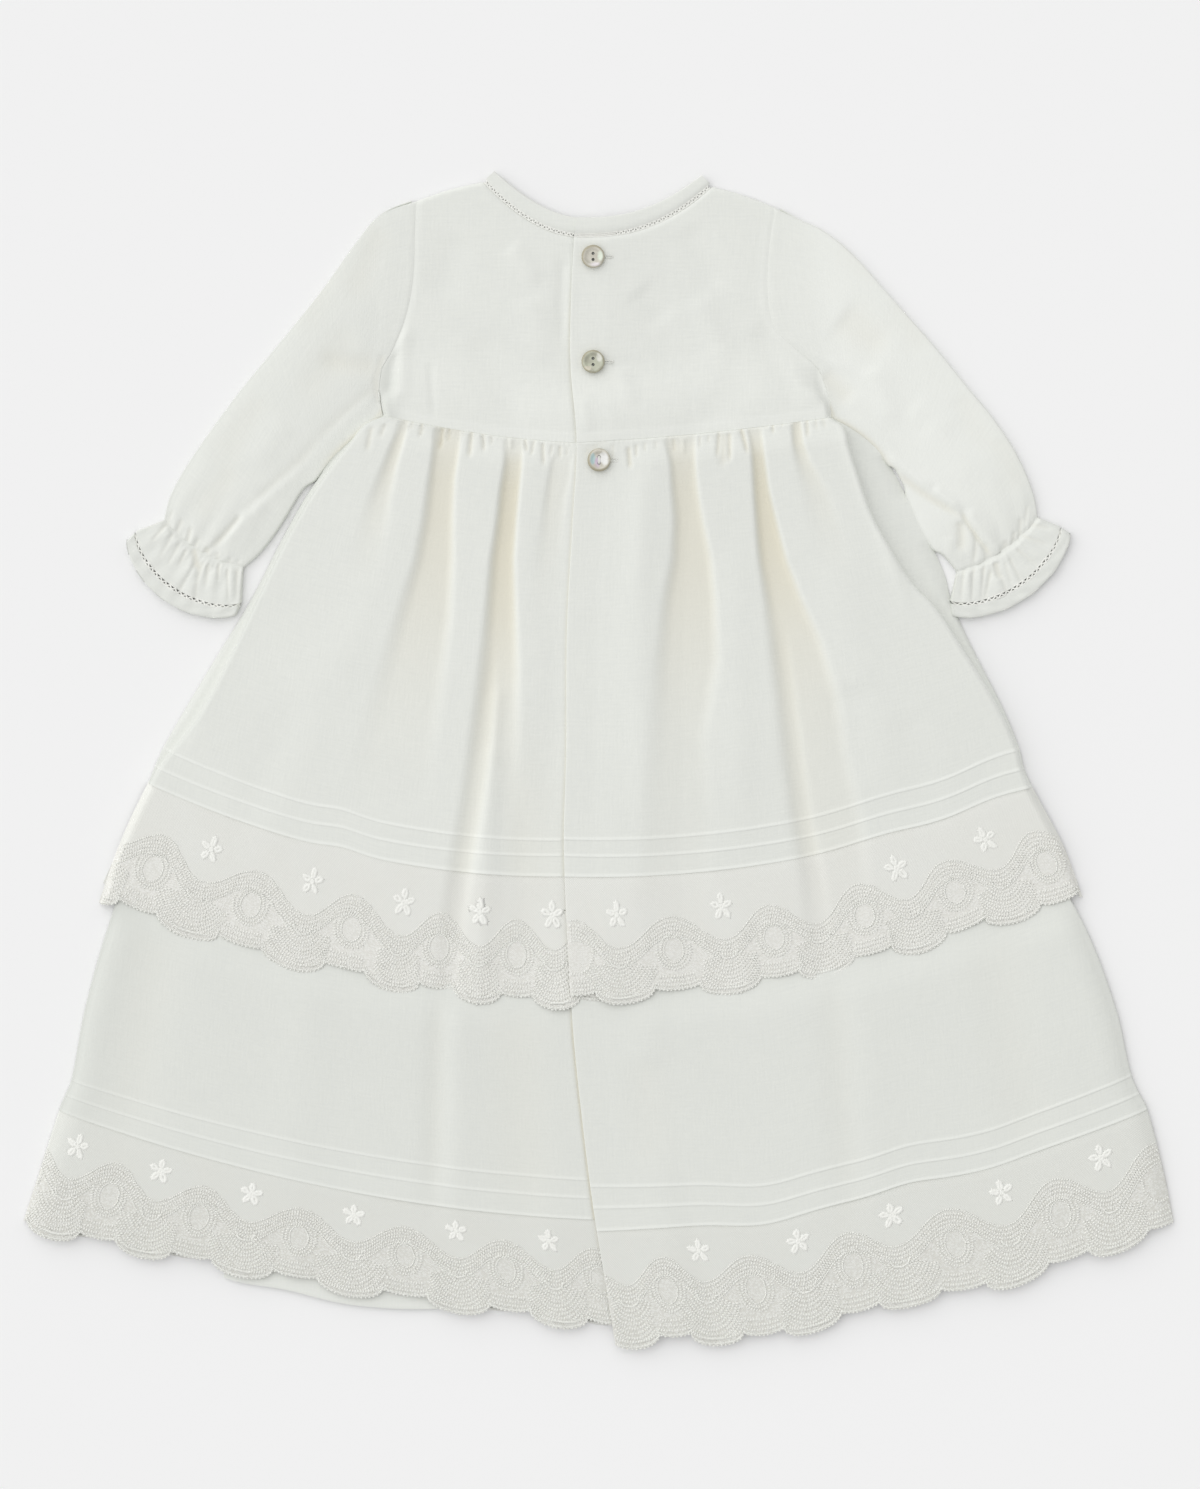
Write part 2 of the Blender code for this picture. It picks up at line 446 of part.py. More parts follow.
def calm(left, inside, from_opening, side_width):
    """Share of the folds' height that is left near a panel's edges; none of it in the lap."""
    by_opening = ease(from_opening / 26.0) if left else ease((from_opening - 14.0) / 28.0)
    return ease(inside / side_width) * by_opening


def gather(phase, below_waist):
    """Small gathers under the waist seam, of uneven height and length."""
    whole = math.floor(phase / 2.0)
    length = 12.0 + 9.0 * abs(math.sin(2.3 * whole + 0.4))
    height = 1.8 + 0.7 * math.sin(1.7 * whole)
    start = mix(0.4, 1.0, ease(below_waist / 5.0))
    return height * (0.5 - 0.5 * math.cos(math.pi * phase)) * math.exp(-(below_waist / length) ** 2) * start


def over_height(panel, down, column, x, y, inside, from_opening):
    """Height of the overskirt's back: its rest height, then its loft, folds and gathers."""
    left = panel["toward"] > 0
    below = down * OVER_LENGTH
    height = mix(0.4, 3.4, ease(below / 42.0)) * mix(1.0, 0.5, ease((below - 150.0) / 120.0))
    height += fold_lift(panel["folds"], x, y)
    if column[0] == "share":
        height += gather(column[1] * (panel["middle"] + 1), below)
    return over_base(left, inside, from_opening) + soft_floor(height) * calm(left, inside, from_opening, 16.0)


def tucked(panel, from_opening):
    """Height of a pintuck: it ends where the left back goes under the right one."""
    if panel["toward"] > 0:
        return TUCK_RISE * clamp(from_opening / 2.5)
    return TUCK_RISE


def tuck_rows(tucks, length):
    """Row positions at the foot, crest and foot of each pintuck."""
    half = TUCK_HALF / length
    return [value for tuck in tucks for value in (tuck - half, tuck, tuck + half)]


def overskirt_back(side, finish):
    """One back panel of the overskirt, with its gathers, folds and pintucks."""
    panel = PANELS["over_" + side]
    rows = [0.0, 0.018, 0.04, 0.07, 0.11, 0.16, 0.22, 0.29, 0.37, 0.46, 0.57]
    rows += tuck_rows(OVER_TUCKS, OVER_LENGTH) + [OVER_HEM]
    columns = [("side", 0.0), ("strip", 0.0), ("strip", RIM)]
    columns += [("share", (k + 1) / (panel["middle"] + 1)) for k in range(panel["middle"])]
    columns += [("opening", value) for value in panel["by_opening"]]

    def point(down, column):
        x, y, inside, from_opening = spot(panel, down, column)
        z = over_height(panel, down, column, x, y, inside, from_opening)
        if down in OVER_TUCKS:
            z += tucked(panel, from_opening)
        return x, y - (SEAM if down == 0.0 else 0.0), z

    return cloth("overskirt_back_" + side, rows, columns, point, finish)


def lobe_drop(lobes, x):
    """Depth of the lace's edge below its notches at x: a large lobe, then a small one."""
    k = max(i for i in range(len(lobes) - 1) if lobes[i] <= x or i == 0)
    phase = (x - lobes[k]) / (lobes[k + 1] - lobes[k])
    phase = abs(phase - round(phase))
    half = LOBE_SHARE / 2.0
    if phase < half:
        return LOBE_DEEP * math.sqrt(max(1.0 - (phase / half) ** 2, 0.0))
    return LOBE_SMALL * math.sqrt(max(1.0 - ((0.5 - phase) / (0.5 - half)) ** 2, 0.0))


def lace_columns(panel):
    """Columns of a lace grid: the borders of the panel, and the same few steps in each repeat."""
    toward, lobes = panel["toward"], panel["lobes"]
    side_x = column_x(panel, 1.0, ("side", 0.0))
    centre_x = column_x(panel, 1.0, ("opening", 0.0))
    near, far = column_x(panel, 1.0, ("share", 0.0)), column_x(panel, 1.0, ("share", 1.0))
    columns = [("side", 0.0), ("strip", 0.0), ("strip", RIM)] if border(panel, 1.0) else [
        ("side", 0.0), ("side", RIM)]
    columns += [("opening", value) for value in panel["by_opening"]]
    fixed = [column_x(panel, 1.0, column) for column in columns]
    for lobe, following in zip(lobes, lobes[1:]):
        for step in LOBE_STEPS:
            x = mix(lobe, following, step)
            if not min(fixed) < x < max(fixed) or min(abs(x - other) for other in fixed) < 1.5:
                continue
            share = (x - near) / (far - near)
            if 0.0 < share < 1.0:
                columns.append(("share", share))
            elif share > 0.0:
                columns.append(("opening", toward * (centre_x - x)))
            else:
                columns.append(("side", toward * (x - side_x)))
    return sorted(columns, key=lambda column: toward * column_x(panel, 1.0, column))


def lace(name, panel, top, rows, height, finish):
    """A lace edging that hangs on a panel's hem, with its scalloped edge."""
    def point(row, column):
        down = mix(top, 1.0, row)
        x, y, inside, from_opening = spot(panel, down, column)
        z = height(panel, down, ("lace", 0.0), x, y, inside, from_opening)
        drop = lobe_drop(panel["lobes"], column_x(panel, 1.0, column))
        return x, y - SEAM * 1.2 * (1.0 - row) - drop * row * row, z

    return cloth(name, rows, lace_columns(panel), point, finish)


def hem_line(x):
    """y of the overskirt's lowest lace edge at x."""
    panel = PANELS["over_left" if x < opening_x(-122.0) else "over_right"]
    side_x = line_at(panel, 1.0, "side_x")
    t = clamp((x - side_x) / (opening_x(line_at(panel, 1.0, "opening_y")) - side_x))
    y = mix(line_at(panel, 1.0, "side_y"), line_at(panel, 1.0, "opening_y"), t)
    return y - line_at(panel, 1.0, "sag") * 4.0 * t * (1.0 - t) - LOBE_DEEP


def under_height(panel, down, column, x, y, inside, from_opening):
    """Height of the underskirt's back: flat under the overskirt, in soft folds below its hem."""
    left = panel["toward"] > 0
    shown = ease((hem_line(x) - 8.0 - y) / 40.0)
    height = 2.2 * mix(1.0, 0.6, ease((down - 0.8) / 0.2)) + fold_lift(panel["folds"], x, y)
    base = Z_UNDER_BACK - PLY * shown * (1.0 - clamp(inside / RIM))
    if not left:
        base += PLY * over_lap(from_opening, UNDER_RAMP)
    return base + soft_floor(height) * calm(left, inside, from_opening, 24.0) * shown


def underskirt_back(side, finish):
    """One back panel of the underskirt, with its soft folds and pintucks."""
    panel = PANELS["under_" + side]
    rows = [0.0, 0.03, 0.08, 0.2, 0.4, 0.56, 0.62, 0.67, 0.72, 0.77]
    rows += tuck_rows(UNDER_TUCKS, UNDER_LENGTH) + [UNDER_HEM]
    columns = [("side", 0.0), ("side", RIM)]
    columns += [("share", (k + 1) / (panel["middle"] + 1)) for k in range(panel["middle"])]
    columns += [("opening", value) for value in panel["by_opening"]]

    def point(down, column):
        x, y, inside, from_opening = spot(panel, down, column)
        z = under_height(panel, down, column, x, y, inside, from_opening)
        if down in UNDER_TUCKS:
            z += tucked(panel, from_opening)
        return x, y, z

    return cloth("underskirt_back_" + side, rows, columns, point, finish)


# ---------------------------------------------------------------- front skirts
def front_spot(left, right, down, share):
    """A point of a front skirt: the cross lines of both back panels joined into one."""
    x_left, x_right = line_at(left, down, "side_x"), line_at(right, down, "side_x")
    x = mix(x_left, x_right, share)
    middle_y = line_at(left, down, "opening_y")
    turn = opening_x(middle_y)
    panel, edge = (left, x_left) if x < turn else (right, x_right)
    t = (x - edge) / (turn - edge)
    y = mix(line_at(panel, down, "side_y"), middle_y, t) - line_at(panel, down, "sag") * 4 * t * (1 - t)
    return x, y


def overskirt_front(finish):
    """The front of the overskirt, flat on the surface."""
    rows = (0.0, 0.022, 0.05, 0.11, 0.18, 0.27, 0.38, 0.52, 0.66, OVER_HEM)

    def point(down, share):
        x, y = front_spot(PANELS["over_left"], PANELS["over_right"], down, share)
        return x, y - (SEAM if down == 0.0 else 0.0), 0.0

    return cloth("overskirt_front", rows, [k / 12 for k in range(13)], point, finish)


def underskirt_front(finish):
    """The front of the underskirt: on the overskirt's front, and on the surface past its hem."""
    rows = [("down", value) for value in (0.0, 0.03, 0.08, 0.2, 0.4, 0.54)]
    rows += [("past hem", 2.0), ("past hem", 14.0), ("down", 0.74), ("down", UNDER_HEM)]

    def point(row, share):
        kind, amount = row
        x, y = front_spot(PANELS["under_left"], PANELS["under_right"], amount if kind == "down" else 0.61, share)
        if kind == "past hem":
            y = hem_line(x) - amount
        return x, y, 0.0 if y < hem_line(x) - 13.0 else Z_UNDER_FRONT

    return cloth("underskirt_front", rows, [k / 14 for k in range(15)], point, finish)


def front_lace(name, left, right, top, repeats, finish):
    """A hidden front edging: the same scallops, spread evenly."""
    steps = (0.0, 0.2, 0.32, 0.5, 0.68, 0.8)
    columns = [(k + step) / repeats for k in range(repeats) for step in steps] + [1.0]

    def point(row, share):
        x, y = front_spot(left, right, mix(top, 1.0, row), share)
        phase = (share * repeats) % 1.0
        drop = LOBE_DEEP * math.sqrt(max(1.0 - ((phase - 0.5) / 0.3) ** 2, 0.0))
        return x, y + (FRONT_SHORT - drop) * row - SEAM * 1.2 * (1.0 - row), 0.0

    return cloth(name, (0.0, 1.0), columns, point, finish)


def lining_hem(finish):
    """The strip of lining hem that shows below the left-hand lace."""
    def point(row, column):
        return column["x"], mix(column["top_y"], column["low_y"], row), PLY

    return cloth("lining_hem", (0.0, 1.0), LINING, point, finish)


# ---------------------------------------------------------------- bodice
def side_course(side):
    """Points down a back panel's outer edge: the armhole, then the side to the waist."""
    table = ARMHOLE_LEFT if side == "left" else ARMHOLE_RIGHT
    waist = (OVER_LEFT if side == "left" else OVER_RIGHT)[0]
    points = [(read(table, "part", k / ARM_ROWS, "x"), read(table, "part", k / ARM_ROWS, "y"))
              for k in range(ARM_ROWS + 1)]
    pit_x, pit_y = points[-1]
    for share in SIDE_ROWS:
        bulge = (-1.6 if side == "left" else 1.2) * math.sin(math.pi * share)
        points.append((mix(pit_x, waist["side_x"], share) + bulge, mix(pit_y, waist["side_y"], share)))
    return points


def neck_y(x, front=False):
    """y of the top edge at x: shoulder lines outside the neck, the neck's curve inside it."""
    side = "left" if x < NECK["low_x"] else "right"
    end_x, end_y = NECK[side + "_x"], NECK[side + "_y"]
    shoulder = (ARMHOLE_LEFT if side == "left" else ARMHOLE_RIGHT)[0]
    if abs(x) > abs(end_x):
        share = (x - end_x) / (shoulder["x"] - end_x)
        return mix(end_y, shoulder["y"], share) + math.sin(math.pi * clamp(share))
    low = FRONT_NECK_LOW if front else NECK["low_y"]
    share = abs((x - NECK["low_x"]) / (end_x - NECK["low_x"]))
    return low + (end_y - low) * share ** (2.4 if front else NECK[side + "_power"])


def waist_y(side, x):
    """y of the waist seam at x."""
    row = (OVER_LEFT if side == "left" else OVER_RIGHT)[0]
    t = (x - row["side_x"]) / (opening_x(row["opening_y"]) - row["side_x"])
    return mix(row["side_y"], row["opening_y"], t) - row["sag"] * 4 * t * (1 - t)


def bodice_back(side, finish):
    """One back of the bodice. It climbs onto the gathered skirt just above the waist seam."""
    course = side_course(side)
    left = side == "left"
    toward = 1.0 if left else -1.0
    by_opening = PANELS["over_" + side]["by_opening"]
    near, far = course[0][0] + toward * (1.0 + RIM), opening_x(NECK["low_y"]) - toward * by_opening[0]
    at_neck = (NECK[side + "_x"] - near) / (far - near)
    shares = [at_neck / 2, at_neck] + [mix(at_neck, 1.0, k / 4) for k in range(1, 4)]
    columns = [("side", 0.0), ("side", 1.0), ("side", 1.0 + RIM)]
    columns += [("share", share) for share in shares] + [("opening", value) for value in by_opening]
    neck_opening, waist_opening = NECK["low_y"], OVER_LEFT[0]["opening_y"]

    def cross(side_x, y, column):
        """x of a column on the cross line between a point of the side and the opening at y."""
        kind, amount = column
        if kind == "side":
            return side_x + toward * amount
        if kind == "opening":
            return opening_x(y) - toward * amount
        return mix(side_x + toward * (1.0 + RIM), opening_x(y) - toward * by_opening[0], amount)

    def point(row, column):
        side_x, side_y = course[row]
        down = (course[0][1] - side_y) / (course[0][1] - course[-1][1])
        opening_y = mix(neck_opening, waist_opening, down)
        x = cross(side_x, opening_y, column)
        top_y = neck_y(cross(course[0][0], neck_opening, column))
        y = mix(top_y, waist_y(side, cross(course[-1][0], waist_opening, column)), down)
        from_opening = toward * (opening_x(opening_y) - x)
        low = PLY if left else PLY * (1.0 + over_lap(from_opening, UNDER_RAMP))
        high = over_base(left, toward * (x - side_x) - 1.0, from_opening)
        return x, y, mix(low, high, ease((row + 6 - len(course)) / 4.0))

    return cloth("back_bodice_" + side, range(len(course)), columns, point, finish)


def front_neck_xs():
    """x of the points of the front neckline."""
    return [mix(NECK["left_x"], NECK["right_x"], k / 8) for k in range(9)]


def bodice_front(finish):
    """The front of the bodice, flat on the surface, with its lower neckline."""
    left, right = side_course("left"), side_course("right")
    shares = [(x - left[0][0]) / (right[0][0] - left[0][0]) for x in front_neck_xs()]
    columns = [0.0, shares[0] / 2] + shares + [(1.0 + shares[-1]) / 2, 1.0]

    def point(row, share):
        (left_x, left_y), (right_x, right_y) = left[row], right[row]
        x = mix(left_x, right_x, share)
        down_left = (left[0][1] - left_y) / (left[0][1] - left[-1][1])
        down_right = (right[0][1] - right_y) / (right[0][1] - right[-1][1])
        foot_x = mix(left[-1][0], right[-1][0], share)
        foot_y = waist_y("left" if foot_x < opening_x(waist_opening) else "right", foot_x)
        top_y = neck_y(mix(left[0][0], right[0][0], share), front=True)
        return x, mix(top_y, foot_y, mix(down_left, down_right, share)), 0.0

    waist_opening = OVER_LEFT[0]["opening_y"]
    return cloth("front_bodice", range(len(left)), columns, point, finish)


def neck_binding(name, columns, rest, finish, front=False):
    """A flat strip along the neck seam, past the given x positions of the seam."""
    def point(row, x):
        back, ahead = max(x - 0.4, NECK["left_x"]), min(x + 0.4, NECK["right_x"])
        step_x, step_y = ahead - back, neck_y(ahead, front) - neck_y(back, front)
        length = math.hypot(step_x, step_y)
        reach = SEAM + 0.4 + BINDING * row
        return x - step_y / length * reach, neck_y(x, front) + step_x / length * reach, rest(x)

    return cloth(name, (0.0, 1.0), columns, point, finish)


# ---------------------------------------------------------------- sleeves and cuffs
def ring(line, over, under, height, power=1.0):
    """Outer and inner outline of a tube pressed flat, on a line across it. over and under: the
    shares along that line at which the upper and the lower layer have their points."""
    ax, ay, bx, by = line["out_x"], line["out_y"], line["in_x"], line["in_y"]
    width = math.hypot(bx - ax, by - ay)
    away = -1.0 if ax < 0 else 1.0
    nx, ny = away * (ay - by) / width, away * (bx - ax) / width
    inset = min(2.2, 0.03 * width) / width

    def on_line(share):
        swell = line["bow"] * (4 * share * (1 - share)) ** power
        return mix(ax, bx, share) + nx * swell, mix(ay, by, share) + ny * swell

    outer, inner = [], []
    for share in over:
        if share in (0.0, 1.0):
            outer.append((*on_line(share), EDGE_Z))
            inner.append((*on_line(mix(inset, 1.0 - inset, share)), EDGE_Z))
        else:
            x, y = on_line(share)
            top = PLY + height(share, x, y)
            outer.append((x, y, top + WALL))
            inner.append((x, y, top))
    for share in under:
        x, y = on_line(share)
        outer.append((x, y, 0.0))
        inner.append((x, y, WALL))
    return outer, inner


def armhole_ring(side, over_count, under):
    """The sleeve's ring along the armhole and the top of the bodice's side."""
    course = side_course(side)
    away = -1.0 if side == "left" else 1.0
    end = [mix(a, b, 0.62) for a, b in zip(course[-2], course[-1])]
    points = course[:over_count - 1] + [tuple(end)]
    stepped = []
    for k, (x, y) in enumerate(points):
        (px, py), (qx, qy) = points[max(k - 1, 0)], points[min(k + 1, len(points) - 1)]
        length = math.hypot(qx - px, qy - py)
        nx, ny = away * (py - qy) / length, away * (qx - px) / length
        stepped.append((x, y, nx, ny))
    outer, inner = [], []
    for k, (x, y, nx, ny) in enumerate(stepped):
        x, y = x + nx * (SEAM + 0.4), y + ny * (SEAM + 0.4)
        if k in (0, over_count - 1):
            outer.append((x, y, EDGE_Z))
            inner.append((x, y + (-1.8 if k == 0 else 2.6), EDGE_Z))
        else:
            outer.append((x, y, PLY + WALL))
            inner.append((x, y, PLY))
    for share in under:
        place = share * (over_count - 1)
        k = min(int(place), over_count - 2)
        x, y, nx, ny = [mix(a, b, place - k) for a, b in zip(stepped[k], stepped[k + 1])]
        outer.append((x + nx * 2.4, y + ny * 2.4, 0.0))
        inner.append((x + nx * 2.4, y + ny * 2.4, WALL))
    return outer, inner


def even_shares(count, edge):
    """Shares across a tube, with one close to either edge."""
    return [0.0] + [mix(edge, 1.0 - edge, k / (count - 3)) for k in range(count - 2)] + [1.0]


def round_off(share):
    return math.sqrt(max(1.0 - (2.0 * share - 1.0) ** 2, 0.0))


def sleeve(side, finish):
    """A long sleeve laid flat: two layers, with creases and the gathers above the elastic."""
    table = SLEEVE_LEFT if side == "left" else SLEEVE_RIGHT
    over = even_shares(12, 0.04)
    under = [0.94, 0.72, 0.5, 0.28, 0.06]
    outer, inner = armhole_ring(side, len(over), under)
    outers, inners = [outer], [inner]
    for index, line in enumerate(table):
        gathered = ease((index - (len(table) - 4)) / 3.0)

        def height(share, x, y, line=line, gathered=gathered):
            body = round_off(share)
            gathers = 0.9 * (1.0 - math.cos(math.pi * (share - 0.04) / 0.92 * 9)) * gathered
            return max(line["puff"] + fold_lift(SLEEVE_FOLDS, x, y) + gathers, 0.0) * body

        outer, inner = ring(line, over, under, height)
        outers.append(outer)
        inners.append(inner)
    return tube_wall("sleeve_" + side, outers, inners, finish)


def between(first, second, share):
    """A cross line of a cuff, a share of the way from one line to the next."""
    return {key: mix(first[key], second[key], share) for key in first}


def cuff_wave(share, amount):
    """Gathers across the upper side of a cuff, of uneven height."""
    phase = (share - 0.04) / 0.92 * CUFF_WAVES
    uneven = 0.75 + 0.25 * math.sin(2.1 * math.floor(phase) + 0.8)
    return amount * uneven * (0.5 - 0.5 * math.cos(2 * math.pi * phase)) * min(1.0, 2.0 * round_off(share))


def cuff_tube(name, first, second, stations, finish):
    """A gathered tube between two cross lines. stations: how far from one to the other, the
    height of the waves there, and the fullness of the bow (less is fuller)."""
    over = even_shares(2 * CUFF_WAVES + 3, 0.04)
    under = [0.94, 0.72, 0.5, 0.28, 0.06]
    outers, inners = [], []
    for share, amount, power in stations:
        outer, inner = ring(between(first, second, share), over, under,
                            lambda across, x, y: 0.3 + cuff_wave(across, amount), power)
        outers.append(outer)
        inners.append(inner)
    return tube_wall(name, outers, inners, finish)


def cuff_frill(side, finish):
    """The gathered frill between the elastic and the cuff binding."""
    cuff = CUFF_LEFT if side == "left" else CUFF_RIGHT
    stations = ((0.0, 1.3, 1.0), (0.35, CUFF_LIFT, 0.9), (0.97, 1.4, 0.75))
    return cuff_tube("cuff_frill_" + side, cuff["elastic"], cuff["hem"], stations, finish)


def cuff_binding(side, finish):
    """The plain binding at the frill's edge; it follows the frill's waves a little."""
    cuff = CUFF_LEFT if side == "left" else CUFF_RIGHT
    stations = ((0.12, 1.1, 0.75), (1.0, 0.5, 0.75))
    return cuff_tube("cuff_binding_" + side, cuff["hem"], cuff["edge"], stations, finish)


# ---------------------------------------------------------------- buttons
def button(row, finish):
    """A shell button: a turned disc with a raised rim, and two holes in a line down it."""
    half = BUTTON_THICK / 2
    profile = [
        (0.0, half * 0.35), (BUTTON_RADIUS * 0.62, half * 0.35), (BUTTON_RADIUS * 0.80, half),
        (BUTTON_RADIUS, half * 0.35), (BUTTON_RADIUS * 0.86, -half), (0.0, -half),
    ]
    mesh = bpy.data.meshes.new(row["name"])
    points = [(radius * MM, 0.0, height * MM) for radius, height in profile]
    mesh.from_pydata(points, [(k, k + 1) for k in range(len(points) - 1)], [])
    mesh.materials.append(finish)
    made = bpy.data.objects.new(row["name"], mesh)
    made.location = (row["x"] * MM, row["y"] * MM, (row["z"] + half) * MM)
    gown.objects.link(made)
    turn = made.modifiers.new("turn", "SCREW")
    turn.steps = turn.render_steps = 18
    turn.use_merge_vertices = True
    turn.merge_threshold = 0.00001
    turn.use_normal_calculate = True
    for offset, end in ((-BUTTON_HOLE_PITCH / 2, "low"), (BUTTON_HOLE_PITCH / 2, "high")):
        bpy.ops.mesh.primitive_cylinder_add(
            vertices=8, radius=BUTTON_HOLE_RADIUS * MM, depth=4 * BUTTON_THICK * MM,
            location=(row["x"] * MM, (row["y"] + offset) * MM, (row["z"] + half) * MM))
        drill = bpy.context.object
        drill.name = row["name"] + "_hole_" + end
        drill.hide_render = True
        drill.display_type = "WIRE"
        for owner in drill.users_collection:
            owner.objects.unlink(drill)
        cutters.objects.link(drill)
        cut = made.modifiers.new("hole", "BOOLEAN")
        cut.operation = "DIFFERENCE"
        cut.object = drill
    return made


# ---------------------------------------------------------------- the gown
def skirts(linen, lace_finish):
    """Both skirts: their fronts, backs and lace edgings."""
    overskirt_front(linen)
    underskirt_front(linen)
    front_lace("overskirt_lace_front", PANELS["over_left"], PANELS["over_right"], OVER_HEM, 9, lace_finish)
    front_lace("underskirt_lace_front", PANELS["under_left"], PANELS["under_right"], UNDER_HEM, 11, lace_finish)
    for side in ("left", "right"):
        overskirt_back(side, linen)
        underskirt_back(side, linen)
        lace("overskirt_lace_back_" + side, PANELS["over_" + side], OVER_HEM, (0.0, 0.5, 1.0),
             over_height, lace_finish)
        lace("underskirt_lace_back_" + side, PANELS["under_" + side], UNDER_HEM, (0.0, 1.0),
             under_height, lace_finish)


def bodice(linen):
    """The bodice with its three lengths of neck binding."""
    bodice_front(linen)
    bodice_back("left", linen)
    bodice_back("right", linen)
    start = opening_x(NECK["low_y"])
    left_xs = [mix(NECK["left_x"], start + LAP - 1.0, k / 12) for k in range(13)]
    right_xs = [start] + [mix(start + LAP_CLEAR, NECK["right_x"], k / 10) for k in range(11)]
    neck_binding("neck_binding_left", left_xs, lambda x: PLY, linen)
    neck_binding("neck_binding_right", right_xs,
                 lambda x: PLY * (1.0 + over_lap(x - start, UNDER_RAMP)), linen)
    neck_binding("neck_binding_front", front_neck_xs(), lambda x: 0.0, linen, front=True)


def build():
    linen = material("white_linen", (0.83, 0.835, 0.80), 0.82, sheen=0.15)
    lace_finish = material("white_lace", (0.86, 0.865, 0.84), 0.75, sheen=0.1)
    lining = material("lining_cotton", (0.84, 0.84, 0.81), 0.8)
    shell = material("mother_of_pearl", (0.66, 0.66, 0.58), 0.25, coat=0.5)
    bodice(linen)
    skirts(linen, lace_finish)
    lining_hem(lining)
    for side in ("left", "right"):
        sleeve(side, linen)
        cuff_frill(side, linen)
        cuff_binding(side, linen)
    for row in BUTTONS:
        button(row, shell)


for existing in list(bpy.data.objects):
    bpy.data.objects.remove(existing, do_unlink=True)
gown = bpy.data.collections.new("christening_gown")
cutters = bpy.data.collections.new("cutters")
bpy.context.scene.collection.children.link(gown)
bpy.context.scene.collection.children.link(cutters)
build()
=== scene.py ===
import math

import bpy
import numpy as np
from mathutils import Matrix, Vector


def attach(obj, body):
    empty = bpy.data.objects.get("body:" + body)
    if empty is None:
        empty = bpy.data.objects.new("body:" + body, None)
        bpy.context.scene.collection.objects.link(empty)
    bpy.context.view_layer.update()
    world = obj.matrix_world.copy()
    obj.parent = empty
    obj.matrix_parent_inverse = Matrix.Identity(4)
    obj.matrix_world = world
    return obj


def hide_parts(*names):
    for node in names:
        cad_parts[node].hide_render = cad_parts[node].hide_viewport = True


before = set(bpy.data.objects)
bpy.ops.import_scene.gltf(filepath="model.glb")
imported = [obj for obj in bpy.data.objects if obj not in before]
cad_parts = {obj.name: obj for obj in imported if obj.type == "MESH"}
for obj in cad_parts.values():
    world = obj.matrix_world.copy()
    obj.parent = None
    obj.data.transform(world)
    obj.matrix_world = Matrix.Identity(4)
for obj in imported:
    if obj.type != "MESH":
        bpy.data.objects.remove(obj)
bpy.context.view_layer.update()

mm = 0.001
straightUp = (0.0, 0.0, 1.0)

# Every length below is in millimetres. Left and right are the viewer's, looking at the gown's back.
wall = {"solid": 1.2, "ply": 1.6, "shell": 0.5, "rim": 5.0, "edgeZ": 1.5}
lap = {"width": 18.0, "clear": 18.7, "overRamp": 60.0, "underRamp": 50.0, "leftRamp": 32.0}


def clamp(value):
    return np.clip(value, 0.0, 1.0)


def mix(a, b, share):
    return a + (b - a) * share


def ease(share):
    share = clamp(share)
    return share * share * (3.0 - 2.0 * share)


def curve(table, key, at, column):
    # a smooth line through one column of a table, read at values of its key column
    keys, values = np.array(table[key], float), np.array(table[column], float)
    if keys[0] > keys[-1]:
        keys, values = keys[::-1], values[::-1]
    at = np.clip(at, keys[0], keys[-1])
    k = np.clip(np.searchsorted(keys, at, side="right") - 1, 0, len(keys) - 2)
    before = np.maximum(np.arange(len(keys)) - 1, 0)
    after = np.minimum(np.arange(len(keys)) + 1, len(keys) - 1)
    slopes = (values[after] - values[before]) / (keys[after] - keys[before])
    span = keys[k + 1] - keys[k]
    t = (at - keys[k]) / span
    return ((2 * t ** 3 - 3 * t ** 2 + 1) * values[k] + (t ** 3 - 2 * t ** 2 + t) * slopes[k] * span
            + (3 * t ** 2 - 2 * t ** 3) * values[k + 1] + (t ** 3 - t ** 2) * slopes[k + 1] * span)


def creaseLift(creases, x, y):
    # the sum of a table's creases at x, y: each one a rounded ridge or trough that fades at its ends
    total = np.zeros(np.broadcast(x, y).shape)
    for k in range(len(creases["x"])):
        ax, ay, bx, by = (creases[key][k] for key in ("x", "y", "endX", "endY"))
        dx, dy = bx - ax, by - ay
        length = math.hypot(dx, dy)
        along = ((x - ax) * dx + (y - ay) * dy) / length ** 2
        share = clamp(along)
        bow = creases["bow"][k] * 4 * share * (1 - share) if "bow" in creases else 0.0
        across = ((x - ax) * dy - (y - ay) * dx) / length - bow
        fade = ease((along + 0.12) / 0.22) * ease((1.12 - along) / 0.4)
        total += creases["lift"][k] * fade * np.exp(-(across / creases["width"][k]) ** 2)
    return total


def softFloor(height):
    # keeps a height above zero with no hard bend where it gets there
    return 0.5 * (height + np.sqrt(height * height + 0.36))


def rumple(x, y):
    # the slight unevenness of pressed linen
    return (0.10 * np.sin(x / 19 + 1.4 * np.sin(y / 37)) + 0.09 * np.sin(y / 23 + 1.1 * np.sin(x / 31))
            + 0.05 * np.sin((x + y) / 9.5 + 1.7 * np.sin(y / 15)))


def roundedEdge(distance, width):
    # 0 at an edge, rising over a quarter circle to 1 at this width from it
    return np.sqrt(np.maximum(1.0 - (1.0 - clamp(distance / width)) ** 2, 0.0))


def rolled(height, distance, foot=0.55, width=1.0):
    # brings an edge round and down, as a seamed fold lies
    return mix(foot, height, roundedEdge(distance, width))


def grid(x, y, z):
    return np.stack(np.broadcast_arrays(x, y, z), axis=-1).astype(float)


